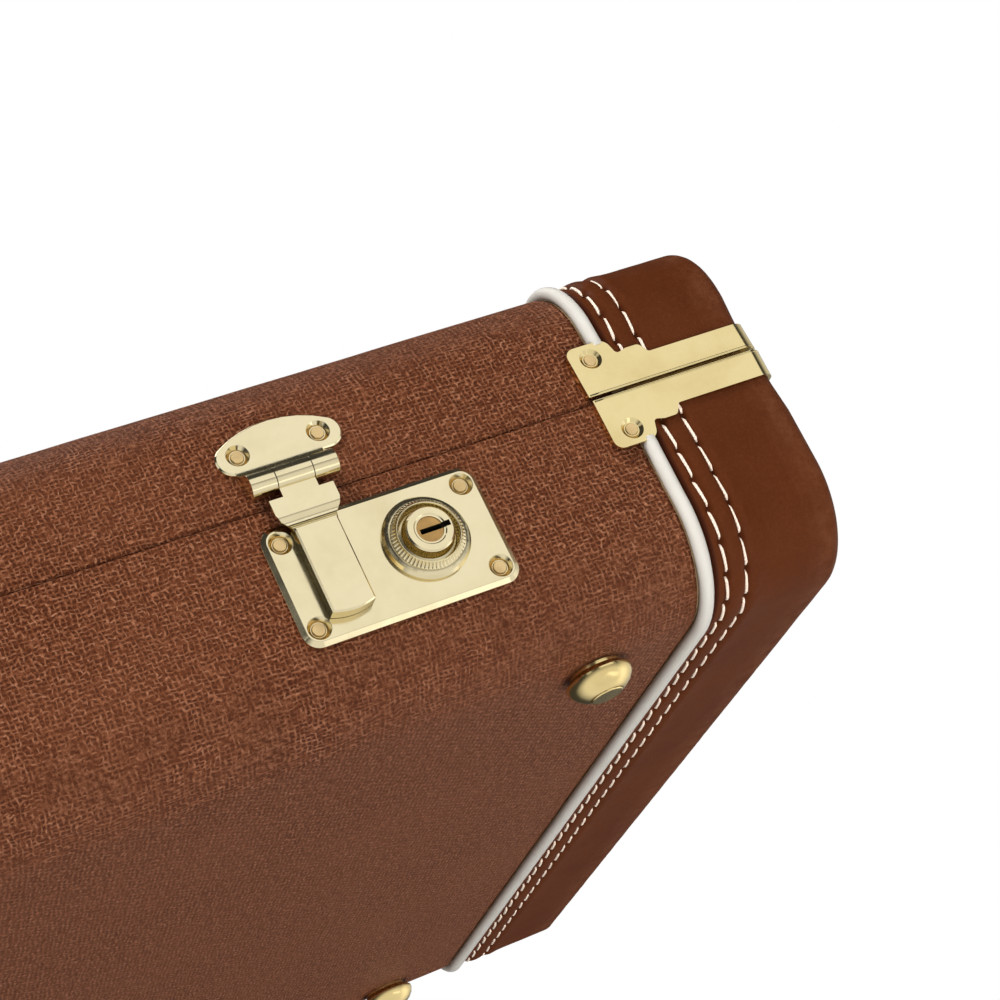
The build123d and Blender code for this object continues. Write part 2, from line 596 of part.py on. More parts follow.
def compartment_tab():
    """Pull tab on the front edge of the compartment's lid."""
    low = Z_SEAM + BOX_TOP + BOX_GAP + 1.2
    x = (BOX_X[0] + BOX_X[1]) / 2
    y = SHELL_Y + BOX_Y0 - BOX_OVERHANG - FIT
    tab = slab(x - TAB_W / 2, x + TAB_W / 2, y - TAB_LEN, y, low, low + TAB_T)
    return fillet(tab.edges().filter_by(Axis.Z).sort_by(Axis.Y)[:2], 5)


def lid_pad():
    high = Z_TOP - SOFT_IN
    pad = slab(95, 500, SHELL_Y - 138, SHELL_Y + 138, high - 9, high)
    return fillet(pad.edges().filter_by(Axis.Z), 40)


# ---- assembly ----
def rivet_places():
    """Every rivet of the base and of the lid: frame, sheet thickness."""
    base, lid = [], []
    lock = front_frame(LOCK_X, PLATE_Z)
    base += [(lock * Pos(x, y, 0), PLATE_T) for x, y in corners(RIVET_X, RIVET_Z)]
    for x0 in LATCH_X[1:]:
        base += [(front_frame(x0, PLATE_Z) * Pos(x, y, 0), PLATE_T) for x, y in corners(CATCH_RIVET_X, RIVET_Z)]
    for x0 in LATCH_X:
        leaf = lid_front_frame(x0) * Pos(LEAF_SHIFT, LEAF_RIVETS[1], 0)
        lid += [(leaf * Pos(sx * LEAF_RIVETS[0], 0, 0), HASP_LEAF_T) for sx in (-1, 1)]
    for side in (-1, 1):
        base += [(place, SHEET) for place in valance_rivet_places(base_path, side)]
        lid += [(place, SHEET) for place in valance_rivet_places(lid_path, side)]
        base += [(front_frame(side * HANDLE_HALF, HANDLE_AXIS_Z) * Pos(sx * MOUNT_RIVET_X, 0, 0), MOUNT_T)
                 for sx in (-1, 1)]
    for x0 in HINGE_X:
        base += [(back_frame(x0, 0) * Pos(x, -HINGE_RIVET_DROP, 0), LEAF_T) for x in HINGE_RIVET_X]
        lid += [(hinge_lid_frame(x0) * Pos(x, HINGE_RIVET_DROP, 0), LEAF_T) for x in HINGE_RIVET_X]
    return base, lid


def lock_cup_hole():
    """Room for the key cylinder through the skin and the front wall."""
    return front_frame(LOCK_X, PLATE_Z) * Pos(*KEY_POS, -5) * Cylinder(SHANK_R + FIT, 20)


def build():
    parts = {}
    wood = ("panel", "front_wall", "back_wall", "left_end", "right_end")
    for half, path_of, radius in (("base", base_path, BASE_R), ("lid", lid_path, LID_R)):
        for name, solid in zip(wood, plywood(path_of, radius)):
            parts[f"{half}_{name}"] = solid
        parts[f"{half}_cover"] = cover(path_of)
        for side_name, side in (("left", -1), ("right", 1)):
            parts[f"{half}_end_cap_{side_name}"] = end_cap(path_of, side)
            parts[f"{half}_piping_{side_name}"] = piping(path_of, side)
            parts[f"{half}_valance_{side_name}"] = valance(path_of, side)
        parts[f"{half}_lining"] = lining(path_of)
    for name in ("base_front_wall", "base_cover"):
        parts[name] -= lock_cup_hole()

    base_rivets, lid_rivets = rivet_places()
    parts["base_rivets"] = group(place * rivet(sheet) for place, sheet in base_rivets)
    parts["lid_rivets"] = group(place * rivet(sheet) for place, sheet in lid_rivets)

    foot_x, foot_y = X_END - FOOT_FROM_END, HALF - FOOT_FROM_WALL
    feet = [Plane(origin=(x, SHELL_Y + y, Z_BOTTOM), x_dir=(1, 0, 0), z_dir=(0, 0, -1))
            for x, y in corners(foot_x, foot_y)]
    parts["feet"] = group(place * foot() for place in feet)
    parts["foot_rivets"] = group(place * foot_rivet() for place in feet)

    lock = front_frame(LOCK_X, PLATE_Z)
    key = lock * Pos(*KEY_POS, 0)
    parts["lock_plate"] = lock * plate(LOCK_PLATE, corners(RIVET_X, RIVET_Z),
                                       Pos(*KEY_POS, 0) * Cylinder(SHANK_R + FIT, 20))
    for name, make in (("lock_body", lock_body), ("lock_ring", lock_ring), ("lock_plug", lock_plug),
                       ("lock_cam", lock_cam)):
        parts[name] = key * make()
    for number, x in enumerate(LATCH_X, start=1):
        parts[f"hasp_{number}"] = hasp_frame(x) * hasp()
        if number > 1:
            parts[f"catch_plate_{number}"] = front_frame(x, PLATE_Z) * plate(
                CATCH_PLATE, corners(CATCH_RIVET_X, RIVET_Z))
    parts["hasp_leaves"] = group(lid_front_frame(x) * hasp_leaf() for x in LATCH_X)
    parts["hasp_pins"] = group(hasp_frame(x) * Rot(0, 90, 0) * Cylinder(PIN_R, LEAF_BARREL_W) for x in LATCH_X)

    base_leaf, lid_leaf, pin = hinge_parts()
    parts["hinge_base_leaves"] = group(back_frame(x, 0) * base_leaf for x in HINGE_X)
    parts["hinge_lid_leaves"] = group(hinge_lid_frame(x) * lid_leaf for x in HINGE_X)
    parts["hinge_pins"] = group(back_frame(x, 0) * pin for x in HINGE_X)

    parts["handle_mounts"] = group(front_frame(sx * HANDLE_HALF, HANDLE_AXIS_Z) * handle_mount()
                                   for sx in (-1, 1))
    parts["handle_rings"] = group(handle_frame(sx * HANDLE_HALF) * handle_ring() for sx in (-1, 1))
    parts["handle_grip"] = handle_frame(0) * handle_grip()

    parts["base_lip"] = base_lip()
    parts["body_pad"] = body_pad()
    parts["neck_cradle"] = neck_cradle()
    parts["compartment_walls"] = compartment_walls()
    parts["compartment_lid"] = compartment_lid()
    parts["compartment_tab"] = compartment_tab()
    parts["lid_pad"] = lid_pad()
    return parts


def main():
    os.makedirs("parts", exist_ok=True)
    for name, shape in build().items():
        export_step(shape, f"parts/{name}.step")
        print(name, len(shape.solids()), round(shape.volume), shape.bounding_box())


main()
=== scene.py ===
import math
import random

import bmesh
import bpy
import numpy as np
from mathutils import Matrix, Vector
from mathutils import noise as mnoise


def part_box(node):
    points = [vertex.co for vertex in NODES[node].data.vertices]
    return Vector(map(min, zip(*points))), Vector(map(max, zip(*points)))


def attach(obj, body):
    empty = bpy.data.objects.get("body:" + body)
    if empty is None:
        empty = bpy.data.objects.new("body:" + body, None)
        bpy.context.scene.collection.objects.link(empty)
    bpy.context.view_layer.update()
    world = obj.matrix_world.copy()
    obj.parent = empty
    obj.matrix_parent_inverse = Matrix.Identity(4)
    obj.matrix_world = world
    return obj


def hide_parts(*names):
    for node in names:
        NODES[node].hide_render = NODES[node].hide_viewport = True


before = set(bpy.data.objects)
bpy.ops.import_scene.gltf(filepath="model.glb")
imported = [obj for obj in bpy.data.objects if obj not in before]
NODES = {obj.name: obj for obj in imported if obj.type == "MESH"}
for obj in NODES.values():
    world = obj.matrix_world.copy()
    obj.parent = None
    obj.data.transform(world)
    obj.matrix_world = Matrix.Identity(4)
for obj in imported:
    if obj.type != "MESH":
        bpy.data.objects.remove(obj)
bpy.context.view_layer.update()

# Looks of a hard guitar case. Shapes are worked out in millimetres and turned into metres
# when a mesh is made. No piece is simulated: soft shapes are swept, remeshed and smoothed.
MM = 0.001


# ---------------------------------------------------------------- measures, from the frame
def box_mm(node):
    low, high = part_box(node)
    return low / MM, high / MM


COVER_LOW, COVER_HIGH = box_mm("base_cover")
RIM = 0.3                       # each half stops this far from the seam
Y_FRONT, Y_BACK = COVER_LOW.y, COVER_HIGH.y
MID_Y = (Y_FRONT + Y_BACK) / 2
HALF = (Y_BACK - Y_FRONT) / 2
Z_BOTTOM = COVER_LOW.z
Z_SEAM = COVER_HIGH.z + RIM
Z_TOP = box_mm("lid_cover")[1].z
X_COVER = COVER_HIGH.x
X_END = box_mm("base_end_cap_right")[1].x
PIPE_LOW, PIPE_HIGH = box_mm("base_piping_right")
X_PIPE = (PIPE_LOW.x + PIPE_HIGH.x) / 2
PIPE_R = (PIPE_HIGH.x - PIPE_LOW.x) / 2
SETBACK = 0.7                   # lid wall behind base wall at the seam
METAL_RIM = {"base": RIM, "lid": RIM + 0.9}      # seam edge of the corner metal
LEAN = math.radians(4.0)        # inward lean of the lid's long walls
CORNER_R = {"base": 25.0, "lid": 22.0}
WOOD_IN = 6.2                   # vinyl and plywood
LEATHER_UP = 1.4                # leather above the vinyl
EDGE_R = 3.5                    # rounding of the leather at the ends
TAB_DROP = 15.6                 # rivet tab of the corner metal
LINING = 1.55                   # plush on the inside of the wood
METAL_OUT = 2.5                 # corner metal's outside, from the vinyl
METAL_END = 1.1                 # corner metal's outside, from the leather ends
GRIP_R = 10.5                   # handle grip
GRIP_SEAMS = (58, 96)           # the grip's two rows of thread, degrees round it
GRIP_PITCH = 6.2
HASP_BARREL_R = 3.4
HASP_STEP = (9.9, 14.2)         # the step in a hasp's top plate starts and ends this far below its pin
HASP_STEP_DEPTH = 0.75
RING_TEETH = 58                 # coin edge round the key cylinder
BIG_FACE = 14                   # flat faces with more corners than this are split into triangles


# ---------------------------------------------------------------- shader helper
class Shader:
    """A Principled material whose nodes are made by short calls."""

    def __init__(self, name, **constants):
        self.mat = bpy.data.materials.new(name)
        self.mat.use_nodes = True
        self.tree = self.mat.node_tree
        self.tree.nodes.clear()
        out = self.tree.nodes.new("ShaderNodeOutputMaterial")
        self.bsdf = self.tree.nodes.new("ShaderNodeBsdfPrincipled")
        self.tree.links.new(self.bsdf.outputs[0], out.inputs[0])
        for key, value in constants.items():
            self.bsdf.inputs[key.replace("_", " ")].default_value = value

    def put(self, socket, value):
        if isinstance(value, bpy.types.NodeSocket):
            self.tree.links.new(value, socket)
        else:
            socket.default_value = value

    def node(self, kind, inputs=(), out=0, **settings):
        made = self.tree.nodes.new("ShaderNode" + kind)
        for key, value in settings.items():
            setattr(made, key, value)
        for key, value in dict(inputs).items():
            self.put(made.inputs[key], value)
        return made.outputs[out]

    def math(self, operation, a, b=0.0, clamp=False):
        return self.node("Math", {0: a, 1: b}, operation=operation, use_clamp=clamp)

    def vec(self, operation, a, b=(0, 0, 0), scale=1.0):
        inputs = {0: a, 3: scale} if operation == "SCALE" else {0: a, 1: b}
        return self.node("VectorMath", inputs, operation=operation)

    def attribute(self, name, out="Vector"):
        return self.node("Attribute", out=out, attribute_name=name)

    def place(self, scale=(1, 1, 1)):
        """Object coordinates in millimetres, stretched by scale."""
        coords = self.node("TexCoord", out="Object")
        return self.node("Mapping", {"Vector": coords, "Scale": [1000 * k for k in scale]})

    def noise(self, vector, scale, detail=2.0, rough=0.5, out=0):
        inputs = {"Vector": vector, "Scale": scale, "Detail": detail, "Roughness": rough}
        return self.node("TexNoise", inputs, out=out)

    def cells(self, vector, scale, feature="F1"):
        return self.node("TexVoronoi", {"Vector": vector, "Scale": scale}, feature=feature)

    def span(self, value, low, high, to_low=0.0, to_high=1.0):
        return self.node("MapRange", {0: value, 1: low, 2: high, 3: to_low, 4: to_high})

    def ramp(self, value, stops):
        made = self.tree.nodes.new("ShaderNodeValToRGB")
        ramp = made.color_ramp
        while len(ramp.elements) < len(stops):
            ramp.elements.new(0.5)
        for element, (place, colour) in zip(ramp.elements, stops):
            element.position = place
            element.color = (*colour, 1)
        self.put(made.inputs[0], value)
        return made.outputs[0]

    def mix(self, factor, a, b):
        made = self.tree.nodes.new("ShaderNodeMix")
        made.data_type = "RGBA"
        for socket, value in ((made.inputs[0], factor), (made.inputs[6], a), (made.inputs[7], b)):
            self.put(socket, (*value, 1) if isinstance(value, tuple) else value)
        return made.outputs[2]

    def finish(self, colour=None, rough=None, height=None, depth=0.1):
        """Colour, roughness and a bump whose full height is depth millimetres."""
        if colour is not None:
            self.put(self.bsdf.inputs["Base Color"], colour)
        if rough is not None:
            self.put(self.bsdf.inputs["Roughness"], rough)
        if height is not None:
            bump = self.node("Bump", {"Height": height, "Distance": depth * MM, "Strength": 1.0})
            self.put(self.bsdf.inputs["Normal"], bump)
        return self.mat


# ---------------------------------------------------------------- materials
def vinyl_material():
    """Embossed cross-weave: a worn net of thin raised threads round small pits, with painted shade in the
    pits and painted highlight on the threads.
    """
    s = Shader("vinyl_weave", Specular_IOR_Level=0.24)
    cloth = s.attribute("cloth")
    slow = s.vec("SUBTRACT", s.noise(cloth, 0.14, 2.0, out=1), (0.5, 0.5, 0.5))
    fast = s.vec("SUBTRACT", s.noise(cloth, 0.6, 2.0, out=1), (0.5, 0.5, 0.5))
    drift = s.vec("ADD", s.vec("SCALE", slow, scale=2.6), s.vec("SCALE", fast, scale=1.5))
    place = s.vec("DIVIDE", s.vec("ADD", cloth, drift), (1.38, 1.24, 1.0))

    def part(vector, index):
        return s.node("SeparateXYZ", {0: vector}, out=index)

    def threads(along, over, seed):
        """Raised threads that follow one direction, each stretch of them high or low in turn."""
        line = s.math("ADD", part(place, over), 0.5)
        off = s.math("ABSOLUTE", s.math("SUBTRACT", s.math("FRACT", line), 0.5))
        turn = s.math("ADD", s.math("FLOOR", line), s.math("ADD", s.math("FLOOR", part(place, along)), seed))
        high = s.math("COSINE", s.math("MULTIPLY", turn, math.pi))
        worn = s.span(s.noise(s.vec("ADD", cloth, (seed * 31, 0, 0)), 0.5, 2.0, 0.6), 0.36, 0.64, 0.25, 1.0)
        height = s.math("MULTIPLY", worn, s.math("ADD", 0.84, s.math("MULTIPLY", high, 0.16)))
        fall = s.math("POWER", s.math("DIVIDE", off, 0.34), 2.0)
        return s.math("MULTIPLY", s.math("SUBTRACT", 1.0, fall, clamp=True), height)

    ridge = s.math("MAXIMUM", threads(1, 0, 0.0), threads(0, 1, 1.0))
    slub = s.span(s.noise(cloth, 0.33, 3.0, 0.65), 0.50, 0.72, 0.0, 0.60)
    grain = s.noise(cloth, 2.3, 4.0, 0.7)
    coarse = s.noise(cloth, 0.8, 3.0, 0.6)
    weave = s.math("MAXIMUM", ridge, slub)
    pebble = s.span(s.math("ADD", coarse, s.math("MULTIPLY", grain, 0.4)), 0.50, 0.90, 0.0, 1.0)
    pebble = s.math("ADD", s.math("MULTIPLY", pebble, 0.6), s.math("MULTIPLY", weave, 0.4))
    loosen = s.math("MULTIPLY", part(cloth, 2), s.span(s.noise(cloth, 0.07, 3.0), 0.38, 0.60), clamp=True)
    height = s.node("Mix", {0: loosen, 2: weave, 3: pebble})
    height = s.math("ADD", height, s.math("MULTIPLY", s.math("SUBTRACT", grain, 0.5), 0.50))
    # Painted shade and highlight: the colour follows the weave's height, dark in the pits and pale on the
    # raised threads.
    colour = s.ramp(height, [(0.0, (0.060, 0.0130, 0.0035)), (0.30, (0.128, 0.0340, 0.0110)),
                             (0.70, (0.310, 0.1170, 0.0560)), (1.0, (0.440, 0.1940, 0.1080))])
    tone = s.noise(cloth, 0.02, 3.0)
    colour = s.mix(s.span(tone, 0.35, 0.68, 0.0, 0.20), colour, (0.240, 0.080, 0.036))
    rough = s.span(height, 0.2, 0.95, 0.58, 0.40)
    return s.finish(colour, rough, height, depth=1.1)


def leather_material():
    """Smooth satin hide: fine pores, faint creases, paler where it is rubbed, and painted shade in the stitch
    grooves, the stitch holes and the gap by the piping.
    """
    s = Shader("leather_smooth", Specular_IOR_Level=0.08)
    place = s.place()
    wear = s.attribute("wear", "Fac")
    pores = s.cells(place, 1.9, "DISTANCE_TO_EDGE")
    pores = s.math("MULTIPLY", pores, 3.2, clamp=True)
    cloud = s.noise(place, 0.035, 4.0, 0.6)
    fine = s.noise(place, 1.1, 4.0, 0.62)
    crease_and_shade = s.node("TexNoise", {"Vector": s.place((0.9, 0.35, 0.12)), "Scale": 0.55, "Detail": 3.0,
                                 "Distortion": 0.6})
    colour = s.ramp(cloud, [(0.3, (0.066, 0.0150, 0.0034)), (0.7, (0.085, 0.0208, 0.0050))])
    colour = s.mix(s.math("MULTIPLY", s.span(fine, 0.45, 0.75), 0.30), colour, (0.132, 0.038, 0.0125))
    rubbed = s.math("MULTIPLY", wear, s.span(s.noise(place, 0.16, 4.0, 0.7), 0.35, 0.7), clamp=True)
    colour = s.mix(s.math("MULTIPLY", rubbed, 0.22), colour, (0.250, 0.100, 0.052))
    # Painted shade: darker in the stitch grooves, the stitch holes and the gap by the piping.
    colour = s.mix(s.math("MULTIPLY", s.attribute("crease_and_shade", "Fac"), 0.75, clamp=True), colour,
                   (0.040, 0.0095, 0.0040))
    rough = s.span(s.math("ADD", fine, s.math("MULTIPLY", cloud, 0.4)), 0.4, 1.0, 0.46, 0.60)
    height = s.math("ADD", s.math("MULTIPLY", pores, 0.45), s.math("ADD", s.math("MULTIPLY", fine, 0.5),
                                                                   s.math("MULTIPLY", crease_and_shade, 0.5)))
    return s.finish(colour, rough, height, depth=0.07)


def piping_material():
    """Ivory plastic cord, slightly grubby."""
    s = Shader("piping_ivory", Specular_IOR_Level=0.5, Subsurface_Weight=0.04,
               Subsurface_Radius=(0.002, 0.002, 0.0015))
    place = s.place()
    smudge = s.noise(place, 0.07, 4.0, 0.6)
    grain = s.noise(place, 1.6, 3.0)
    colour = s.mix(s.span(smudge, 0.5, 0.75, 0.0, 0.55), (0.59, 0.572, 0.545), (0.52, 0.495, 0.460))
    return s.finish(colour, s.span(grain, 0.3, 0.7, 0.36, 0.48), grain, depth=0.05)


def thread_material():
    """Two-ply waxed thread; the twist follows the stitch."""
    s = Shader("stitch_thread", Specular_IOR_Level=0.3, Sheen_Weight=0.25, Sheen_Roughness=0.5)
    ply = s.attribute("ply")
    twist = s.node("TexWave", {"Vector": ply, "Scale": 0.62, "Distortion": 0.6, "Detail": 1.0}, out=1,
                   bands_direction="DIAGONAL")
    fuzz = s.noise(s.place(), 2.4, 3.0)
    # Painted shade and highlight: darker in the grooves of the twist, paler on the crowns of the plies.
    colour = s.mix(twist, (0.84, 0.66, 0.54), (0.97, 0.84, 0.74))
    return s.finish(colour, 0.5, s.math("ADD", twist, s.math("MULTIPLY", fuzz, 0.4)), depth=0.05)


def brass_material(name, tint, deep, smooth=0.09, matt=0.24):
    """Polished plating: faint waves, hairline scratches and finger marks."""
    s = Shader(name, Metallic=1.0)
    place = s.place()
    marks = s.noise(place, 0.05, 4.0, 0.65)
    brushed = s.noise(s.place((0.10, 3.2, 3.2)), 0.9, 3.0, 0.7)
    hair = s.cells(s.place((0.16, 1.9, 1.9)), 0.5)
    scratch = s.span(hair, 0.0, 0.05, 1.0, 0.0)
    colour = s.mix(s.span(marks, 0.42, 0.75), tint, deep)
    rough = s.math("ADD", s.span(marks, 0.42, 0.78, smooth, matt),
                   s.math("ADD", s.math("MULTIPLY", brushed, 0.05), s.math("MULTIPLY", scratch, 0.10)))
    wave = s.noise(place, 0.11, 1.0)
    height = s.math("ADD", wave, s.math("MULTIPLY", brushed, 0.02))
    return s.finish(colour, rough, height, depth=0.10)


def plush_material(name, dark, light):
    """Short pile that lies in patches."""
    s = Shader(name, Specular_IOR_Level=0.15, Sheen_Weight=0.55, Sheen_Roughness=0.42)
    place = s.place()
    pile = s.noise(place, 1.5, 5.0, 0.75)
    lie = s.noise(place, 0.045, 3.0, 0.6)
    colour = s.ramp(s.math("ADD", s.math("MULTIPLY", pile, 0.55), s.math("MULTIPLY", lie, 0.5)),
                    [(0.32, dark), (0.68, light)])
    return s.finish(colour, 0.88, pile, depth=0.9)


def wood_material():
    """Birch plywood: long grain on the face, thin plies on the edge."""
    s = Shader("birch_plywood", Specular_IOR_Level=0.3)
    grain = s.noise(s.place((0.02, 0.5, 0.5)), 0.8, 5.0, 0.7)
    pore = s.noise(s.place((0.25, 4.0, 4.0)), 0.6, 2.0)
    plies = s.node("TexWave", {"Vector": s.place((0.0, 1.0, 0.0)), "Scale": 0.2, "Distortion": 0.4}, out=1)
    colour = s.ramp(grain, [(0.3, (0.36, 0.235, 0.125)), (0.7, (0.56, 0.41, 0.25))])
    colour = s.mix(s.math("MULTIPLY", plies, 0.22), colour, (0.27, 0.16, 0.08))
    return s.finish(colour, s.span(grain, 0.3, 0.7, 0.5, 0.65), s.math("ADD", grain, pore), depth=0.12)


def slot_shade_material():
    """Painted shade: a near-black, blotchy metal for the inside of the key slot."""
    s = Shader("lock_inside_shade", Metallic=0.6, Specular_IOR_Level=0.3)
    shade_blotches = s.noise(s.place(), 0.8, 4.0)
    colour = s.mix(shade_blotches, (0.012, 0.010, 0.008), (0.035, 0.028, 0.018))
    return s.finish(colour, s.span(shade_blotches, 0.3, 0.7, 0.4, 0.6), shade_blotches, depth=0.1)


VINYL = vinyl_material()
LEATHER = leather_material()
PIPING = piping_material()
THREAD = thread_material()
BRASS = brass_material("brass_plating", (0.86, 0.755, 0.485), (0.81, 0.69, 0.42))
BRASS_DEEP = brass_material("brass_corners", (0.84, 0.695, 0.355), (0.77, 0.61, 0.28))
FOOT_BRASS = brass_material("brass_feet", (0.88, 0.70, 0.33), (0.74, 0.55, 0.22), 0.17, 0.30)
# The key plug's own orange brass, darkened further with painted shade of its recess.
PLUG_BRASS_SHADED = brass_material("brass_key_plug_shaded", (0.60, 0.36, 0.13), (0.36, 0.20, 0.07), 0.25, 0.45)
RIVET = brass_material("brass_rivets", (0.78, 0.57, 0.28), (0.60, 0.40, 0.17), 0.22, 0.40)
PLUSH = plush_material("plush_gold", (0.20, 0.105, 0.030), (0.46, 0.275, 0.090))
WOOD = wood_material()
SLOT_SHADE = slot_shade_material()


# ---------------------------------------------------------------- mesh helpers
def link(name, mesh, material, body):
    obj = bpy.data.objects.new(name, mesh)
    bpy.context.scene.collection.objects.link(obj)
    mesh.materials.clear()
    mesh.materials.append(material)
    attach(obj, body)
    return obj


def build_mesh(name, verts, faces, attributes=()):
    mesh = bpy.data.meshes.new(name)
    mesh.from_pydata((np.asarray(verts) * MM).tolist(), [], np.asarray(faces).tolist())
    for key, values in dict(attributes).items():
        values = np.asarray(values, float)
        vector = values.ndim == 2
        made = mesh.attributes.new(key, "FLOAT_VECTOR" if vector else "FLOAT", "POINT")
        made.data.foreach_set("vector" if vector else "value", values.ravel().astype(np.float32))
    mesh.shade_smooth()
    return mesh


def grid_faces(rows, columns, wrap=False, flip=False):
    """Quads of a rows by columns grid of vertices; wrap joins the last column to the first."""
    index = np.arange(rows * columns).reshape(rows, columns)
    right = np.roll(index, -1, axis=1) if wrap else index[:, 1:]
    left = index if wrap else index[:, :-1]
    quads = np.stack([left[:-1], right[:-1], right[1:], left[1:]], -1).reshape(-1, 4)
    return quads[:, ::-1] if flip else quads


def modify(obj, kind, **settings):
    made = obj.modifiers.new(kind, kind)
    for key, value in settings.items():
        setattr(made, key, value)


def settle(obj):
    """Applies the modifiers into the object's own mesh."""
    depsgraph = bpy.context.evaluated_depsgraph_get()
    mesh = bpy.data.meshes.new_from_object(obj.evaluated_get(depsgraph), preserve_all_data_layers=True,
                                           depsgraph=depsgraph)
    obj.modifiers.clear()
    obj.data = mesh


def tube(points, radius, sides=10, normals=None, taper=None):
    """Vertices, side faces, end faces and texture places of a closed tube along points in millimetres."""
    points = np.asarray(points, float)
    ahead = np.gradient(points, axis=0)
    ahead /= np.linalg.norm(ahead, axis=1)[:, None]
    up = np.tile([0.0, 0.0, 1.0], (len(points), 1)) if normals is None else np.asarray(normals, float)
    side = np.cross(ahead, up)
    side /= np.linalg.norm(side, axis=1)[:, None]
    up = np.cross(side, ahead)
    turn = np.arange(sides) * 2 * math.pi / sides
    size = radius * (np.ones(len(points)) if taper is None else np.asarray(taper))
    ring = side[:, None] * np.cos(turn)[None, :, None] + up[:, None] * np.sin(turn)[None, :, None]
    verts = points[:, None] + ring * size[:, None, None]
    length = np.concatenate([[0], np.cumsum(np.linalg.norm(np.diff(points, axis=0), axis=1))])
    ply = np.stack(np.broadcast_arrays(length[:, None], (turn * radius)[None, :], 0.0), -1)
    faces = grid_faces(len(points), sides, wrap=True).tolist()
    caps = [list(range(sides))[::-1], list(range((len(points) - 1) * sides, len(points) * sides))]
    return verts.reshape(-1, 3), faces, caps, ply.reshape(-1, 3)


def tubes_object(name, runs, radius, material, body, sides=10):
    """One object out of many tubes; runs are (points, normals, taper)."""
    verts, faces, ply, first = [], [], [], 0
    for points, normals, taper in runs:
        v, f, caps, p = tube(points, radius, sides, normals, taper)
        faces += [[i + first for i in face] for face in f + caps]
        verts.append(v)
        ply.append(p)
        first += len(v)
    mesh = bpy.data.meshes.new(name)
    mesh.from_pydata((np.concatenate(verts) * MM).tolist(), [], faces)
    made = mesh.attributes.new("ply", "FLOAT_VECTOR", "POINT")
    made.data.foreach_set("vector", np.concatenate(ply).ravel().astype(np.float32))
    mesh.shade_smooth()
    return link(name, mesh, material, body)


def lumps(points, size, seed):
    """Smooth noise from -1 to 1 at points in millimetres, with lumps of that size."""
    flat = np.asarray(points, float).reshape(-1, 3) / size + seed * 7.31
    out = np.array([mnoise.noise(Vector(p)) for p in flat])
    return out.reshape(np.asarray(points).shape[:-1])


# ---------------------------------------------------------------- the outline of both halves
def outline(half, start, step):
    """Points (y, z), outward normals, lengths and cornerness, from the front seam round to the back seam."""
    if half == "base":
        foot, lean, sign, far = HALF, 0.0, -1, Z_BOTTOM
    else:
        foot, lean, sign, far = HALF - SETBACK, math.tan(LEAN), 1, Z_TOP
    low = Z_SEAM + sign * start
    y_low = foot - start * lean
    y_far = foot - abs(far - Z_SEAM) * lean
    corners = [Vector((-y_low, low)), Vector((-y_far, far)), Vector((y_far, far)), Vector((y_low, low))]
    radius = CORNER_R[half]
    points, normals, bends = [], [], []

    def normal_of(direction):
        return Vector((direction.y, -direction.x)) * (1 if half == "base" else -1)

    def straight(a, b):
        count = max(1, round((b - a).length / step))
        for k in range(count):
            points.append(a.lerp(b, k / count))
            normals.append(normal_of((b - a).normalized()))
            bends.append(0.12 if abs(b.y - a.y) < 1 else 0.0)

    here = corners[0]
    for before, corner, after in zip(corners, corners[1:], corners[2:]):
        d1 = (corner - before).normalized()
        d2 = (after - corner).normalized()
        turn = d1.angle(d2)
        reach = radius * math.tan(turn / 2)
        n1, n2 = normal_of(d1), normal_of(d2)
        straight(here, corner - d1 * reach)
        centre = corner - d1 * reach - n1 * radius
        count = max(6, round(radius * turn / step))
        for k in range(count):
            angle = turn * k / count
            n = (n1 * math.sin(turn - angle) + n2 * math.sin(angle)) / math.sin(turn)
            points.append(centre + n * radius)
            normals.append(n)
            bends.append(math.sin(math.pi * k / count) ** 0.6)
        here = corner + d2 * reach
    straight(here, corners[3])
    points.append(corners[3])
    normals.append(normals[-1])
    bends.append(0.0)
    points = np.array(points) + [MID_Y, 0]
    lengths = np.concatenate([[0], np.cumsum(np.linalg.norm(np.diff(points, axis=0), axis=1))])
    bends = np.convolve(bends, np.ones(3) / 3, "same")
    return points, np.array(normals), lengths, bends


def lift_grid(x, points, normals, height):
    """Grid of points: columns at x, rows along the outline, each lifted by its height along the normal."""
    height = np.broadcast_to(height, (len(points), len(x)))
    yz = points[:, None] + normals[:, None] * height[..., None]
    return np.concatenate([np.broadcast_to(x, height.shape)[..., None], yz], -1)


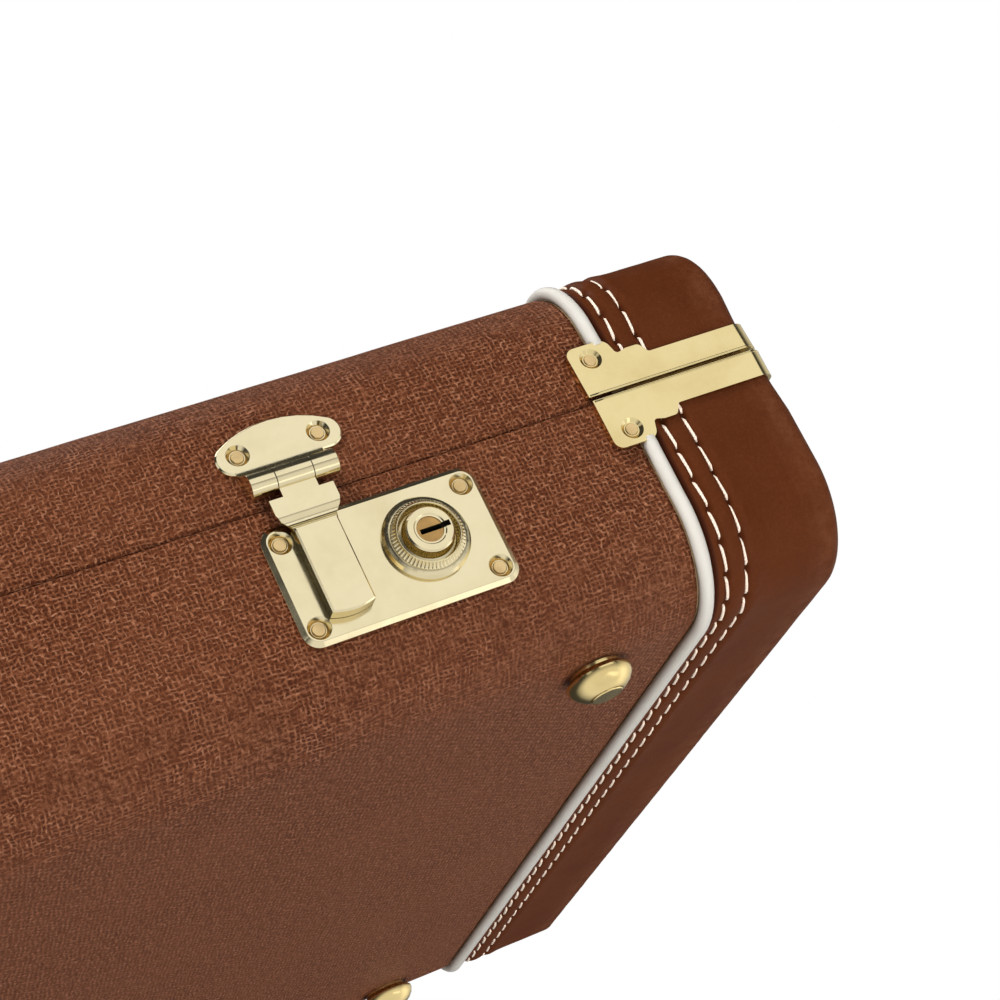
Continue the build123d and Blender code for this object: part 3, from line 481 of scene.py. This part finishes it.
# ---------------------------------------------------------------- vinyl covers
def vinyl_cover(half):
    """The embossed cover of one half, its edges folded in over the wood at the seam."""
    sign = -1 if half == "base" else 1
    points, normals, _, bends = outline(half, RIM + 0.75, 4.0)
    edge = 3.0
    x = np.concatenate([np.linspace(-X_COVER, -X_COVER + edge, 5)[:-1],
                        np.linspace(-X_COVER + edge, X_COVER - edge, 240),
                        np.linspace(X_COVER - edge, X_COVER, 5)[1:]])
    fold = [(0.62, 0.90), (0.25, 0.62), (0.05, 0.34)]
    inner = [(WOOD_IN - 0.1, 0.92), (3.5, 0.92), (1.1, 0.92)]
    if half == "lid":
        inner = [(WOOD_IN + 0.3, -8.0), (WOOD_IN + 0.3, 0.4), (WOOD_IN, 0.86)] + inner[1:]
    turned = inner + fold
    first = [points[0] - normals[0] * inset + np.array([0, -sign * up]) for inset, up in turned]
    last = [points[-1] - normals[-1] * inset + np.array([0, -sign * up]) for inset, up in turned][::-1]
    count = len(turned)
    all_points = np.concatenate([first, points, last])
    all_normals = np.concatenate([[normals[0]] * count, normals, [normals[-1]] * count])
    gaps = np.linalg.norm(np.diff(all_points, axis=0), axis=1)
    all_lengths = np.concatenate([[0], np.cumsum(gaps)])
    all_bends = np.concatenate([np.zeros(count), bends, np.zeros(count)])
    tuck = np.clip((np.abs(x) - (X_COVER - edge)) / edge, 0, 1) ** 2 * -0.5
    flat = lift_grid(x, all_points, all_normals, 0.0)
    wall = np.zeros(len(all_points))
    wall[count:-count] = 1
    wall = np.convolve(wall, np.ones(5) / 5, "same") * wall
    ripple = 0.10 * lumps(flat, 38, 1) + 0.05 * lumps(flat, 13, 2)
    height = ripple * wall[:, None] + tuck[None] * wall[:, None]
    grid = lift_grid(x, all_points, all_normals, height)
    cloth = np.stack(np.broadcast_arrays(x[None], all_lengths[:, None], all_bends[:, None]), -1)
    flip = half == "base"
    mesh = build_mesh(half + "_vinyl", grid.reshape(-1, 3), grid_faces(*grid.shape[:2], flip=flip),
                      {"cloth": cloth.reshape(-1, 3)})
    obj = link(half + "_vinyl", mesh, VINYL, half)
    modify(obj, "SOLIDIFY", thickness=0.25 * MM, offset=-1.0)
    settle(obj)
    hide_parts(half + "_cover")


# ---------------------------------------------------------------- leather ends, stitched
ROWS = (35.6, 29.5)             # stitch rows, from the end of the case
PITCH = 9.0                     # one stitch and its gap
CAP_START = 38.9                # the leather's inner edge, against the piping


def stitch_holes(length):
    """Evenly spaced holes along a row, centred on the outline."""
    count = int(length / PITCH)
    spare = (length - count * PITCH) / 2
    return spare + PITCH * np.arange(count + 1)


def leather_height(from_end, lengths, flat):
    """Height of the leather above the vinyl on the part that runs along the wall, and how much painted shade
    it gets in the stitch grooves, the stitch holes and along the piping.

    flat is 1 where the outline runs along the flat bottom or top, where the padding is thinner.
    """
    thin = 1 - 0.5 * flat[:, None]
    u = from_end[None, :]
    s = lengths[:, None]
    total = lengths[-1]
    holes = stitch_holes(total)
    phase = (s - holes[0]) / PITCH
    nearest = np.abs(phase - np.round(phase)) * PITCH
    pucker = np.exp(-(nearest / 1.5) ** 2)
    near_seam = np.clip((np.minimum(s, total - s) - 13.0) / 8.0, 0, 1)
    puff = 0.30 + 0.70 * near_seam
    roll_mid = (ROWS[0] + ROWS[1]) / 2 + 0.1
    half_width = (ROWS[0] - ROWS[1]) / 2 - 0.05
    across = np.clip(1 - (np.abs(u - roll_mid) / half_width) ** 2.2, 0, 1)
    roll = across ** 0.55 * (1.75 - 0.45 * pucker) * puff * thin
    strip = np.clip((CAP_START - u) / 0.8, 0, 1) ** 0.5 * 0.70
    plain = np.clip((ROWS[1] - 0.2 - u) / 2.2, 0, 1) ** 0.5 * 0.75 * (u < ROWS[1])
    swell = 0.42 * np.exp(-((u - (ROWS[1] - 2.6)) / 1.7) ** 2) * (1 - 0.9 * pucker) * puff * thin
    height = 0.10 + strip + roll + plain + swell
    crease_and_shade = np.zeros(height.shape)
    # Painted shade: each stitch groove and hole is sunk and also marked for darkening.
    for row, depth in zip(ROWS, (0.35, 0.50)):
        seat = np.exp(-((u - row) / 0.55) ** 2)
        hole = np.exp(-((u - row) / 0.85) ** 2) * np.exp(-(nearest / 0.95) ** 2)
        height = height - depth * seat - 0.85 * hole
        crease_and_shade = np.maximum(crease_and_shade, np.maximum(0.45 * seat, hole))
    # Painted shade along the leather's edge next to the piping.
    crease_and_shade = np.maximum(crease_and_shade, 1.33 * np.clip((u - CAP_START + 1.1) / 0.5, 0, 1))
    top = np.clip((ROWS[1] - 4.0 - u) / 4.0, 0, 1)
    return height + (LEATHER_UP - 0.10 - 0.70 - 0.75) * top, crease_and_shade


def leather_cap(half, side):
    """One leather end, from the piping over the padded roll and the edge to the middle of the end face."""
    name = f"{half}_end_cap_" + ("right" if side > 0 else "left")
    points, normals, lengths, _ = outline(half, METAL_RIM[half] + 1.1, 0.8)
    body_u = np.concatenate([np.arange(CAP_START, 25.5, -0.36), np.arange(25.5, EDGE_R, -1.6)])
    flat = np.clip((np.abs(normals[:, 1]) - 0.6) / 0.35, 0, 1)
    height, crease_and_shade = leather_height(body_u, lengths, flat)
    bulge = 0.9 * np.clip((np.minimum(lengths, lengths[-1] - lengths) - 8.5) / 9, 0, 1)
    turn = np.linspace(0, math.pi / 2, 8)
    edge_u = EDGE_R * (1 - np.sin(turn))
    top = height[:, -1:]
    edge_h = top - EDGE_R * (1 - np.cos(turn))[None]
    start = np.stack([np.full(len(points), -1.2), np.full(len(points), -0.4)], -1)
    u = np.concatenate([[CAP_START + 0.05, CAP_START + 0.15], body_u, edge_u])
    height = np.concatenate([start, height, edge_h], 1)
    x = side * (X_END - u)
    room = lift_grid(x, points, normals, height)
    ripple = 0.07 * lumps(room, 9, 3) + 0.05 * lumps(room, 3.4, 4)
    grid = lift_grid(x, points, normals, height + ripple * np.clip(height, 0, 1))
    grid[..., 0] += side * bulge[:, None] * np.clip(1 - u / 22, 0, 1)[None] ** 1.5
    centre = np.array([side * X_END, MID_Y, points[0][1]])
    rim = grid[:, -1]
    shares = np.concatenate([np.linspace(0.97, 0.8, 4), np.linspace(0.7, 0.0, 8)])
    face = centre + (rim - centre)[:, None] * shares[None, :, None]
    face[..., 0] -= side * 0.12 * (1 + lumps(face, 30, 5))
    grid = np.concatenate([grid, face], 1)
    wear = np.zeros(grid.shape[:2])
    first_edge = 2 + len(body_u)
    wear[:, first_edge - 2:first_edge + len(edge_u)] = 1.0
    wear[:, first_edge - 4:first_edge - 2] = 0.4
    # Painted shade: the two columns that dip into the gap by the piping are darkened, and so are the stitch
    # grooves and holes.
    painted_shade = np.zeros(grid.shape[:2])
    painted_shade[:, :2] = 1.0
    painted_shade[:, 2:2 + len(body_u)] = crease_and_shade
    flip = (half == "base") == (side > 0)
    faces = grid_faces(*grid.shape[:2], flip=flip)
    mesh = build_mesh(name.replace("end_cap", "leather"), grid.reshape(-1, 3), faces,
                      {"wear": wear.ravel(), "crease_and_shade": painted_shade.ravel()})
    obj = link(mesh.name, mesh, LEATHER, half)
    bm = bmesh.new()
    bm.from_mesh(mesh)
    bmesh.ops.remove_doubles(bm, verts=bm.verts, dist=1e-6)
    bm.to_mesh(mesh)
    bm.free()
    modify(obj, "SOLIDIFY", thickness=0.4 * MM, offset=-1.0)
    settle(obj)
    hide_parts(name)
    stitch_rows(half, side, points, normals, lengths)


def stitch_rows(half, side, points, normals, lengths):
    """Both rows of thread of one end: each stitch rises out of one hole and goes down into the next."""
    rng = random.Random(f"{half}{side}")
    holes = stitch_holes(lengths[-1])
    hidden = TAB_DROP - 1.5
    runs = []
    share = np.linspace(0, 1, 15)
    for row in ROWS:
        cover = hidden - (5.5 if row == ROWS[1] else 1.0)
        for a, b in zip(holes, holes[1:]):
            if b < cover or a > lengths[-1] - cover:
                continue
            slant = 0.34 + rng.uniform(-0.12, 0.12)
            s = a + 0.75 + (b - a - 1.5) * share
            drift = slant * (1 - 2 * share) + rng.uniform(-0.12, 0.12)
            u = row + drift
            lift = np.clip(np.minimum(share, 1 - share) / 0.13, 0, 1) ** 0.7
            yz = np.stack([np.interp(s, lengths, points[:, k]) for k in range(2)], -1)
            n = np.stack([np.interp(s, lengths, normals[:, k]) for k in range(2)], -1)
            n /= np.linalg.norm(n, axis=1)[:, None]
            flat = np.clip((np.abs(n[:, 1]) - 0.6) / 0.35, 0, 1)
            arch = -0.50 + 0.30 * flat + lift * (0.72 - 0.25 * flat + 0.10 * np.sin(math.pi * share))
            base = 0.55 if row == ROWS[0] else 0.62
            yz = yz + n * (base + arch)[:, None]
            path = np.column_stack([side * (X_END - u), yz])
            up = np.column_stack([np.zeros(len(n)), n])
            taper = 0.72 + 0.28 * np.clip(np.minimum(share, 1 - share) / 0.14, 0, 1)
            runs.append((path, up, taper))
    name = f"{half}_stitches_" + ("right" if side > 0 else "left")
    tubes_object(name, runs, 0.44, THREAD, half, sides=8)


# ---------------------------------------------------------------- piping
def piping(half, side):
    """The ivory cord of one end; it stops under the rivet tabs."""
    side_name = "right" if side > 0 else "left"
    points, normals, _, _ = outline(half, METAL_RIM[half] + TAB_DROP - 1.4, 2.2)
    lift = 0.85
    yz = points + normals * lift
    path = np.column_stack([np.full(len(yz), side * X_PIPE), yz])
    wobble = lumps(path, 26, 6 + side)
    path[:, 0] += 0.12 * wobble
    up = np.column_stack([np.zeros(len(normals)), normals])
    taper = 1 + 0.025 * lumps(path, 8, 9)
    obj = tubes_object(f"{half}_piping_cord_{side_name}", [(path, up, taper)], PIPE_R, PIPING, half,
                       sides=20)
    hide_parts(f"{half}_piping_{side_name}")


# ---------------------------------------------------------------- metal from the frame's own shapes
def refine(node, name, material, body, bevel, shape=None):
    """A copy of a CAD metal piece with flat faces joined, edges rounded and even normals."""
    mesh = NODES[node].data.copy()
    mesh.name = name
    bm = bmesh.new()
    bm.from_mesh(mesh)
    bmesh.ops.remove_doubles(bm, verts=bm.verts, dist=2e-6)
    bmesh.ops.dissolve_limit(bm, angle_limit=math.radians(0.6), verts=bm.verts, edges=bm.edges)
    if shape:
        shape(bm)
    holed = [face for face in bm.faces if len(face.verts) > BIG_FACE]
    bmesh.ops.triangulate(bm, faces=holed)
    bm.to_mesh(mesh)
    bm.free()
    if "custom_normal" in mesh.attributes:
        mesh.attributes.remove(mesh.attributes["custom_normal"])
    mesh.shade_smooth()
    obj = link(name, mesh, material, body)
    modify(obj, "BEVEL", width=bevel * MM, segments=2, limit_method="ANGLE", angle_limit=math.radians(28),
           use_clamp_overlap=True, harden_normals=True)
    settle(obj)
    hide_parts(node)
    return obj


def darken(obj, inside):
    """Painted shade: gives the faces whose middle, in millimetres, passes the test the dark material."""
    obj.data.materials.append(SLOT_SHADE)
    for polygon in obj.data.polygons:
        if inside(polygon.center / MM):
            polygon.material_index = 1


def hasp_step(node):
    """Presses a rounded step into a hasp's top plate, just above the tongue."""
    low, high = box_mm(node)
    pin = high.z - HASP_BARREL_R
    upper, lower = [pin - down for down in HASP_STEP]
    face = low.y + HASP_BARREL_R - 1.3

    def press(bm):
        for level in np.linspace(lower, upper, 11):
            everything = bm.verts[:] + bm.edges[:] + bm.faces[:]
            bmesh.ops.bisect_plane(bm, geom=everything, plane_co=(0, 0, level * MM), plane_no=(0, 0, 1))
        for v in bm.verts:
            share = (v.co.z / MM - lower) / (upper - lower)
            if abs(v.co.y / MM - face) < 0.05 and 0 < share < 1:
                wave = math.sin(math.pi * min(1, share * 1.15) ** 0.8)
                v.co.y += HASP_STEP_DEPTH * wave ** 1.5 * MM

    return press


def coin_ring():
    """Ring with a milled, coin-like slope, round the key cylinder."""
    low, high = box_mm("lock_ring")
    centre = (low + high) / 2
    radius = (high.x - low.x) / 2
    depth = high.y - low.y
    smooth = [(0.0, -1.7), (0.0, 0.0), (0.35, 0.0)]
    milled = [(0.45, -0.02), (0.8, -0.35), (1.15, -0.7), (1.5, -1.0), (1.75, -1.15)]
    lip = [(1.85, -1.2), (2.0, -1.35), (2.0, -1.6), (1.6, -1.72)]
    rows = [(up / 2.0 * depth, radius + out, 0.0) for up, out in smooth]
    rows += [(up / 2.0 * depth, radius + out, 0.34) for up, out in milled]
    rows += [(up / 2.0 * depth, radius + out, 0.0) for up, out in lip]
    rows = np.array(rows)       # each: how far up the slope, radius, depth of the teeth
    turn = np.linspace(0, 2 * math.pi, RING_TEETH * 8, endpoint=False)
    tooth = 1 - np.abs(np.cos(turn * RING_TEETH / 2)) ** 0.7
    away = rows[:, 1, None] - rows[:, 2, None] * tooth[None]
    out = rows[:, 0, None] - 0.6 * rows[:, 2, None] * tooth[None]
    verts = np.stack([centre.x + away * np.cos(turn), high.y - out, centre.z + away * np.sin(turn)], -1)
    mesh = build_mesh("lock_ring_milled", verts.reshape(-1, 3), grid_faces(*verts.shape[:2], wrap=True))
    obj = link(mesh.name, mesh, BRASS, "base")
    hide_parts("lock_ring")


def rolled_edge(half, side_name):
    """The rounded turn of the corner metal into the seam, from one rivet tab round the end to the other."""
    side = 1 if side_name == "right" else -1
    low, high = box_mm(f"{half}_valance_{side_name}")
    inset, bead = 0.42, 0.5
    rim = METAL_RIM[half] + inset
    height = Z_SEAM + (rim if half == "lid" else -rim)
    wall = HALF + METAL_OUT - inset
    if half == "lid":
        wall -= SETBACK + rim * math.tan(LEAN)
    tab = low.x + bead if side > 0 else -high.x + bead
    end = X_END + METAL_END - inset
    bend = 4.2
    turn = np.linspace(0, math.pi / 2, 9)
    corner = [(end - bend + bend * math.sin(a), wall - bend + bend * math.cos(a)) for a in turn]
    front = [(x, wall) for x in np.linspace(tab, end - bend - 2, 12)] + corner
    back = [(x, -y) for x, y in front[::-1]]
    across = [(end, y) for y in np.linspace(wall - bend - 3, 3 + bend - wall, 40)]
    path = np.array([(side * x, MID_Y - y, height) for x, y in front + across + back])
    tubes_object(f"{half}_corner_lip_{side_name}", [(path, None, None)], bead, BRASS_DEEP, half,
                 sides=12)


def metalwork():
    """All plated pieces; the lock's hollow and the key slot get painted shade, a near-black metal."""
    for half in ("base", "lid"):
        for side_name in ("left", "right"):
            refine(f"{half}_valance_{side_name}", f"{half}_corner_metal_{side_name}", BRASS_DEEP, half,
                   bevel=0.28)
            rolled_edge(half, side_name)
        refine(half + "_rivets", half + "_rivet_heads", RIVET, half, bevel=0.12)
    body = refine("lock_body", "lock_body_plated", BRASS, "base", bevel=0.2)
    centre = (box_mm("lock_plug")[0] + box_mm("lock_plug")[1]) / 2
    face = box_mm("lock_body")[0].y
    # Painted shade in the key slot where it runs through the lock body's face.
    darken(body, lambda spot: (2.8 < spot.x - centre.x < 5.6 and abs(spot.z - centre.z) < 0.8
                               and spot.y > face + 0.1))
    for node in ("lock_plate", "catch_plate_2", "catch_plate_3", "catch_plate_4",
                 "handle_mounts", "hinge_base_leaves"):
        refine(node, node + "_plated", BRASS, "base", bevel=0.2)
    refine("feet", "feet_plated", FOOT_BRASS, "base", bevel=0.2)
    coin_ring()
    refine("foot_rivets", "foot_rivet_heads", FOOT_BRASS, "base", bevel=0.12)
    for node in ("hasp_leaves", "hinge_lid_leaves"):
        refine(node, node + "_plated", BRASS, "lid", bevel=0.2)
    for number in range(1, 5):
        refine(f"hasp_{number}", f"hasp_{number}_plated", BRASS, f"hasp_{number}", bevel=0.25,
               shape=hasp_step(f"hasp_{number}"))
    plug = refine("lock_plug", "lock_plug_plated", PLUG_BRASS_SHADED, "lock_plug", bevel=0.12)
    face = box_mm("lock_plug")[0].y
    # Painted shade in the plug's slot and recess, more than 0.6 mm behind its face.
    darken(plug, lambda spot: spot.y > face + 0.6)
    refine("handle_rings", "handle_rings_plated", BRASS, "handle", bevel=0.1)
    for node in ("hasp_pins", "hinge_pins", "lock_cam"):
        paint_node(node, BRASS)


def paint_node(node, material):
    NODES[node].data.materials.clear()
    NODES[node].data.materials.append(material)


# ---------------------------------------------------------------- wood and furnishings
def woodwork():
    for half in ("base", "lid"):
        for piece in ("panel", "front_wall", "back_wall", "left_end", "right_end"):
            paint_node(f"{half}_{piece}", WOOD)
    paint_node("base_lip", WOOD)


def lining(half):
    """Plush tray that follows the inside of one half, with soft corners and a rolled rim."""
    low, high = box_mm(half + "_lining")
    start = Z_SEAM - high.z if half == "base" else low.z - Z_SEAM
    points, normals, lengths, _ = outline(half, start, 3.0)
    reach = high.x
    inner = -(WOOD_IN + LINING)
    columns = np.concatenate([reach - LINING - 5 * (1 - np.sin(np.linspace(0, math.pi / 2, 6)[::-1])),
                              np.linspace(reach - 12, 12 - reach, 180)])
    x = np.concatenate([columns, -columns[:6][::-1]])
    corner = np.clip((np.abs(x) - (reach - LINING - 5)) / 5, 0, 1)
    height = inner - 5 * (1 - np.sqrt(1 - np.clip(corner, 0, 1) ** 2))
    rim = np.clip(1 - np.minimum(lengths, lengths[-1] - lengths) / 3.0, 0, 1)
    height = np.broadcast_to(height, (len(points), len(x))) + 1.1 * rim[:, None] ** 2
    flat = lift_grid(x, points, normals, height)
    grid = lift_grid(x, points, normals, height - 0.25 * (1 + lumps(flat, 24, 11)) * (1 - rim[:, None]))
    middle = np.array([0, MID_Y, points[0][1]])
    shares = np.linspace(0.94, 0.0, 12)

    def end(column):
        edge = grid[:, column]
        centre = middle + [edge[0][0], 0, 0]
        return centre + (edge - centre)[:, None] * shares[None, :, None]

    grid = np.concatenate([end(0)[:, ::-1], grid, end(-1)], 1)
    mesh = build_mesh(half + "_plush", grid.reshape(-1, 3), grid_faces(*grid.shape[:2], flip=half == "lid"))
    obj = link(half + "_plush", mesh, PLUSH, half)
    modify(obj, "SOLIDIFY", thickness=1.1 * MM, offset=-1.0)
    settle(obj)
    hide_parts(half + "_lining")


def soften(node, name, voxel, smooth, body, material, swell=0.0, lump=(20.0, 0.5)):
    """A stuffed copy of a plain solid: evened out, rounded off, slightly swollen and lumpy."""
    obj = link(name, NODES[node].data.copy(), material, body)
    modify(obj, "REMESH", mode="VOXEL", voxel_size=voxel * MM)
    modify(obj, "SMOOTH", factor=0.6, iterations=smooth)
    settle(obj)
    mesh = obj.data
    mesh.materials.clear()
    mesh.materials.append(material)
    count = len(mesh.vertices)
    places, normals = np.zeros(count * 3), np.zeros(count * 3)
    mesh.vertices.foreach_get("co", places)
    mesh.vertices.foreach_get("normal", normals)
    places, normals = places.reshape(-1, 3), normals.reshape(-1, 3)
    size, depth = lump
    push = swell + depth * lumps(places / MM, size, len(node))
    mesh.vertices.foreach_set("co", (places + normals * push[:, None] * MM).ravel())
    mesh.shade_smooth()
    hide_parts(node)


def furnishings():
    """Everything covered in plush, and the leather pull."""
    for half in ("base", "lid"):
        lining(half)
    soften("body_pad", "body_cushion", 4.0, 6, "base", PLUSH, lump=(26, 0.7))
    soften("neck_cradle", "neck_cushion", 2.5, 6, "base", PLUSH, lump=(18, 0.5))
    soften("lid_pad", "lid_cushion", 2.8, 5, "lid", PLUSH, lump=(24, 0.5))
    soften("compartment_walls", "compartment_sides", 1.3, 4, "base", PLUSH, lump=(14, 0.2))
    soften("compartment_lid", "compartment_flap", 1.5, 5, "compartment_lid", PLUSH, lump=(16, 0.2))
    soften("compartment_tab", "compartment_pull", 0.5, 4, "compartment_lid", LEATHER,
           lump=(6, 0.1))


def handle():
    """Padded leather grip with two rows of stitching on its inner side, towards the mounts."""
    soften("handle_grip", "grip_leather", 1.3, 12, "handle", LEATHER, swell=0.35,
           lump=(11, 0.35))
    low, _ = box_mm("handle_grip")
    axis = Vector((0, low.y + GRIP_R, low.z + GRIP_R))
    runs = []
    share = np.linspace(0, 1, 11)
    for turn in np.radians(GRIP_SEAMS):
        out = np.array([0, math.cos(turn), math.sin(turn)])
        for k in range(-6, 6):
            lift = np.clip(np.minimum(share, 1 - share) / 0.2, 0, 1) ** 0.7
            x = (k + 0.08 + 0.84 * share) * GRIP_PITCH
            away = GRIP_R - 0.75 + lift * (0.95 + 0.25 * np.sin(math.pi * share))
            path = np.column_stack([x, axis.y + out[1] * away, axis.z + out[2] * away])
            runs.append((path, np.tile(out, (len(share), 1)), 0.75 + 0.25 * lift))
    tubes_object("grip_stitches", runs, 0.45, THREAD, "handle", sides=8)


# ---------------------------------------------------------------- camera, floor and light
def camera():
    """Below the seam and in front of the right end, looking up at it."""
    data = bpy.data.cameras.new("camera")
    data.lens = 89.26
    data.sensor_width = 36.0
    data.clip_start = 0.02
    data.clip_end = 30
    obj = bpy.data.objects.new("camera", data)
    bpy.context.scene.collection.objects.link(obj)
    corner = Vector((X_END, Y_FRONT, Z_SEAM)) * MM
    obj.location = corner + Vector((-0.3245, -0.5514, -0.2247))
    obj.rotation_euler = [math.radians(a) for a in (111.098, 24.948, -14.034)]
    bpy.context.scene.camera = obj


def area_light(name, place, aim, size, radiance, mirrored=True):
    """A soft box; one that isn't mirrored is a little warmer and doesn't show in the metal."""
    data = bpy.data.lights.new(name, "AREA")
    data.color = (1, 1, 1) if mirrored else (1, 0.975, 0.91)
    data.shape = "RECTANGLE"
    data.size, data.size_y = size
    data.energy = radiance * math.pi * size[0] * size[1]
    obj = bpy.data.objects.new(name, data)
    bpy.context.scene.collection.objects.link(obj)
    obj.location = place
    obj.rotation_euler = (Vector(place) - Vector(aim)).to_track_quat("Z", "Y").to_euler()
    obj.visible_glossy = mirrored


def room_brightness(tree):
    """What polished metal mirrors: a dark room with a pale wall on the right and a pale floor."""
    coords = tree.nodes.new("ShaderNodeTexCoord")
    total = None
    right_wall = ((0.93, 0.30, -0.10), 0.62, 0.94, 0.75)
    pale_floor = ((0.10, -0.30, -0.95), 0.15, 0.60, 0.80)
    everywhere = ((0, 0, 1), -1.0, -0.9, 0.05)
    for direction, low, high, strength in (right_wall, pale_floor, everywhere):
        dot = tree.nodes.new("ShaderNodeVectorMath")
        dot.operation = "DOT_PRODUCT"
        dot.inputs[1].default_value = direction
        tree.links.new(coords.outputs["Generated"], dot.inputs[0])
        span = tree.nodes.new("ShaderNodeMapRange")
        for index, value in ((1, low), (2, high), (3, 0.0), (4, strength)):
            span.inputs[index].default_value = value
        tree.links.new(dot.outputs["Value"], span.inputs[0])
        if total is None:
            total = span.outputs[0]
            continue
        add = tree.nodes.new("ShaderNodeMath")
        tree.links.new(total, add.inputs[0])
        tree.links.new(span.outputs[0], add.inputs[1])
        total = add.outputs[0]
    return total


def surroundings():
    """White to the camera, dim for light, and the room that polished metal mirrors."""
    scene = bpy.context.scene
    scene.view_settings.view_transform = "Standard"
    world = bpy.data.worlds.new("studio")
    scene.world = world
    world.use_nodes = True
    tree = world.node_tree
    tree.nodes.clear()
    out = tree.nodes.new("ShaderNodeOutputWorld")
    seen = tree.nodes.new("ShaderNodeBackground")
    seen.inputs[1].default_value = 1.0
    seen.inputs[0].default_value = (1, 1, 1, 1)
    lit = tree.nodes.new("ShaderNodeBackground")
    lit.inputs[0].default_value = (1, 0.99, 0.98, 1)
    lit.inputs[1].default_value = 0.14
    mirrored = tree.nodes.new("ShaderNodeBackground")
    mirrored.inputs[0].default_value = (1, 0.99, 0.97, 1)
    tree.links.new(room_brightness(tree), mirrored.inputs[1])
    path = tree.nodes.new("ShaderNodeLightPath")
    shader = lit.outputs[0]
    for ray, other in (("Is Glossy Ray", mirrored), ("Is Camera Ray", seen)):
        mix = tree.nodes.new("ShaderNodeMixShader")
        tree.links.new(path.outputs[ray], mix.inputs[0])
        tree.links.new(shader, mix.inputs[1])
        tree.links.new(other.outputs[0], mix.inputs[2])
        shader = mix.outputs[0]
    tree.links.new(shader, out.inputs[0])


def floor():
    """Pale paper that turns to plain white far from the case. It is clear from below, where the camera is."""
    size = 5.0
    mesh = bpy.data.meshes.new("floor")
    corners = [(-size, -size, 0), (size, -size, 0), (size, size, 0), (-size, size, 0)]
    mesh.from_pydata(corners, [], [(0, 1, 2, 3)])
    obj = bpy.data.objects.new("floor", mesh)
    bpy.context.scene.collection.objects.link(obj)
    s = Shader("floor_paper", Specular_IOR_Level=0.1, Roughness=0.9, Emission_Color=(1, 1, 1, 1))
    far = s.span(s.node("VectorMath", {0: s.place()}, out="Value", operation="LENGTH"), 600.0, 1500.0)
    paper = s.ramp(s.noise(s.place(), 0.01, 2.0), [(0.3, (0.80, 0.80, 0.79)), (0.7, (0.84, 0.84, 0.83))])
    s.put(s.bsdf.inputs["Base Color"], s.mix(far, paper, (0.0, 0.0, 0.0)))
    s.put(s.bsdf.inputs["Emission Strength"], s.math("ADD", 0.3, s.math("MULTIPLY", far, 0.7)))
    clear = s.tree.nodes.new("ShaderNodeBsdfTransparent")
    blend = s.tree.nodes.new("ShaderNodeMixShader")
    s.put(blend.inputs[0], s.node("NewGeometry", out="Backfacing"))
    s.put(blend.inputs[1], s.bsdf.outputs[0])
    s.put(blend.inputs[2], clear.outputs[0])
    surface = next(node for node in s.tree.nodes if node.type == "OUTPUT_MATERIAL")
    s.put(surface.inputs[0], blend.outputs[0])
    mesh.materials.append(s.mat)
    obj.visible_diffuse = False
    obj.visible_glossy = False
    obj.visible_transmission = False
    obj.visible_shadow = False


def lights():
    middle = (0.35, -0.1, 0.06)
    area_light("key_box", (1.25, -2.3, 1.05), middle, (2.4, 1.9), 0.93)
    area_light("left_box", (-1.9, -1.0, 1.2), middle, (0.6, 1.4), 0.8)
    area_light("left_front_box", (-1.5, -2.3, 0.5), middle, (0.9, 1.0), 0.55)
    area_light("top_box", (0.0, 0.6, 2.4), middle, (2.0, 1.4), 1.8)
    area_light("soft_low", (0.2, -2.2, -1.3), middle, (1.6, 1.2), 3.0, mirrored=False)
    area_light("under_strip", (1.3, -0.9, -1.3), middle, (1.2, 0.4), 0.6)
    area_light("soft_top", (-0.5, -1.3, 2.3), middle, (1.2, 0.9), 18.5, mirrored=False)
    area_light("soft_under", (0.1, -1.0, -1.8), middle, (1.8, 1.8), 4.2, mirrored=False)
    area_light("soft_front", (-0.3, -2.6, 0.9), middle, (1.8, 1.5), 2.4, mirrored=False)
    area_light("soft_back", (0.3, 2.2, 1.0), middle, (2.0, 1.2), 1.0, mirrored=False)


# ---------------------------------------------------------------- making
camera()
for half in ("base", "lid"):
    vinyl_cover(half)
    for side in (-1, 1):
        leather_cap(half, side)
        piping(half, side)
metalwork()
woodwork()
furnishings()
handle()
surroundings()
floor()
lights()
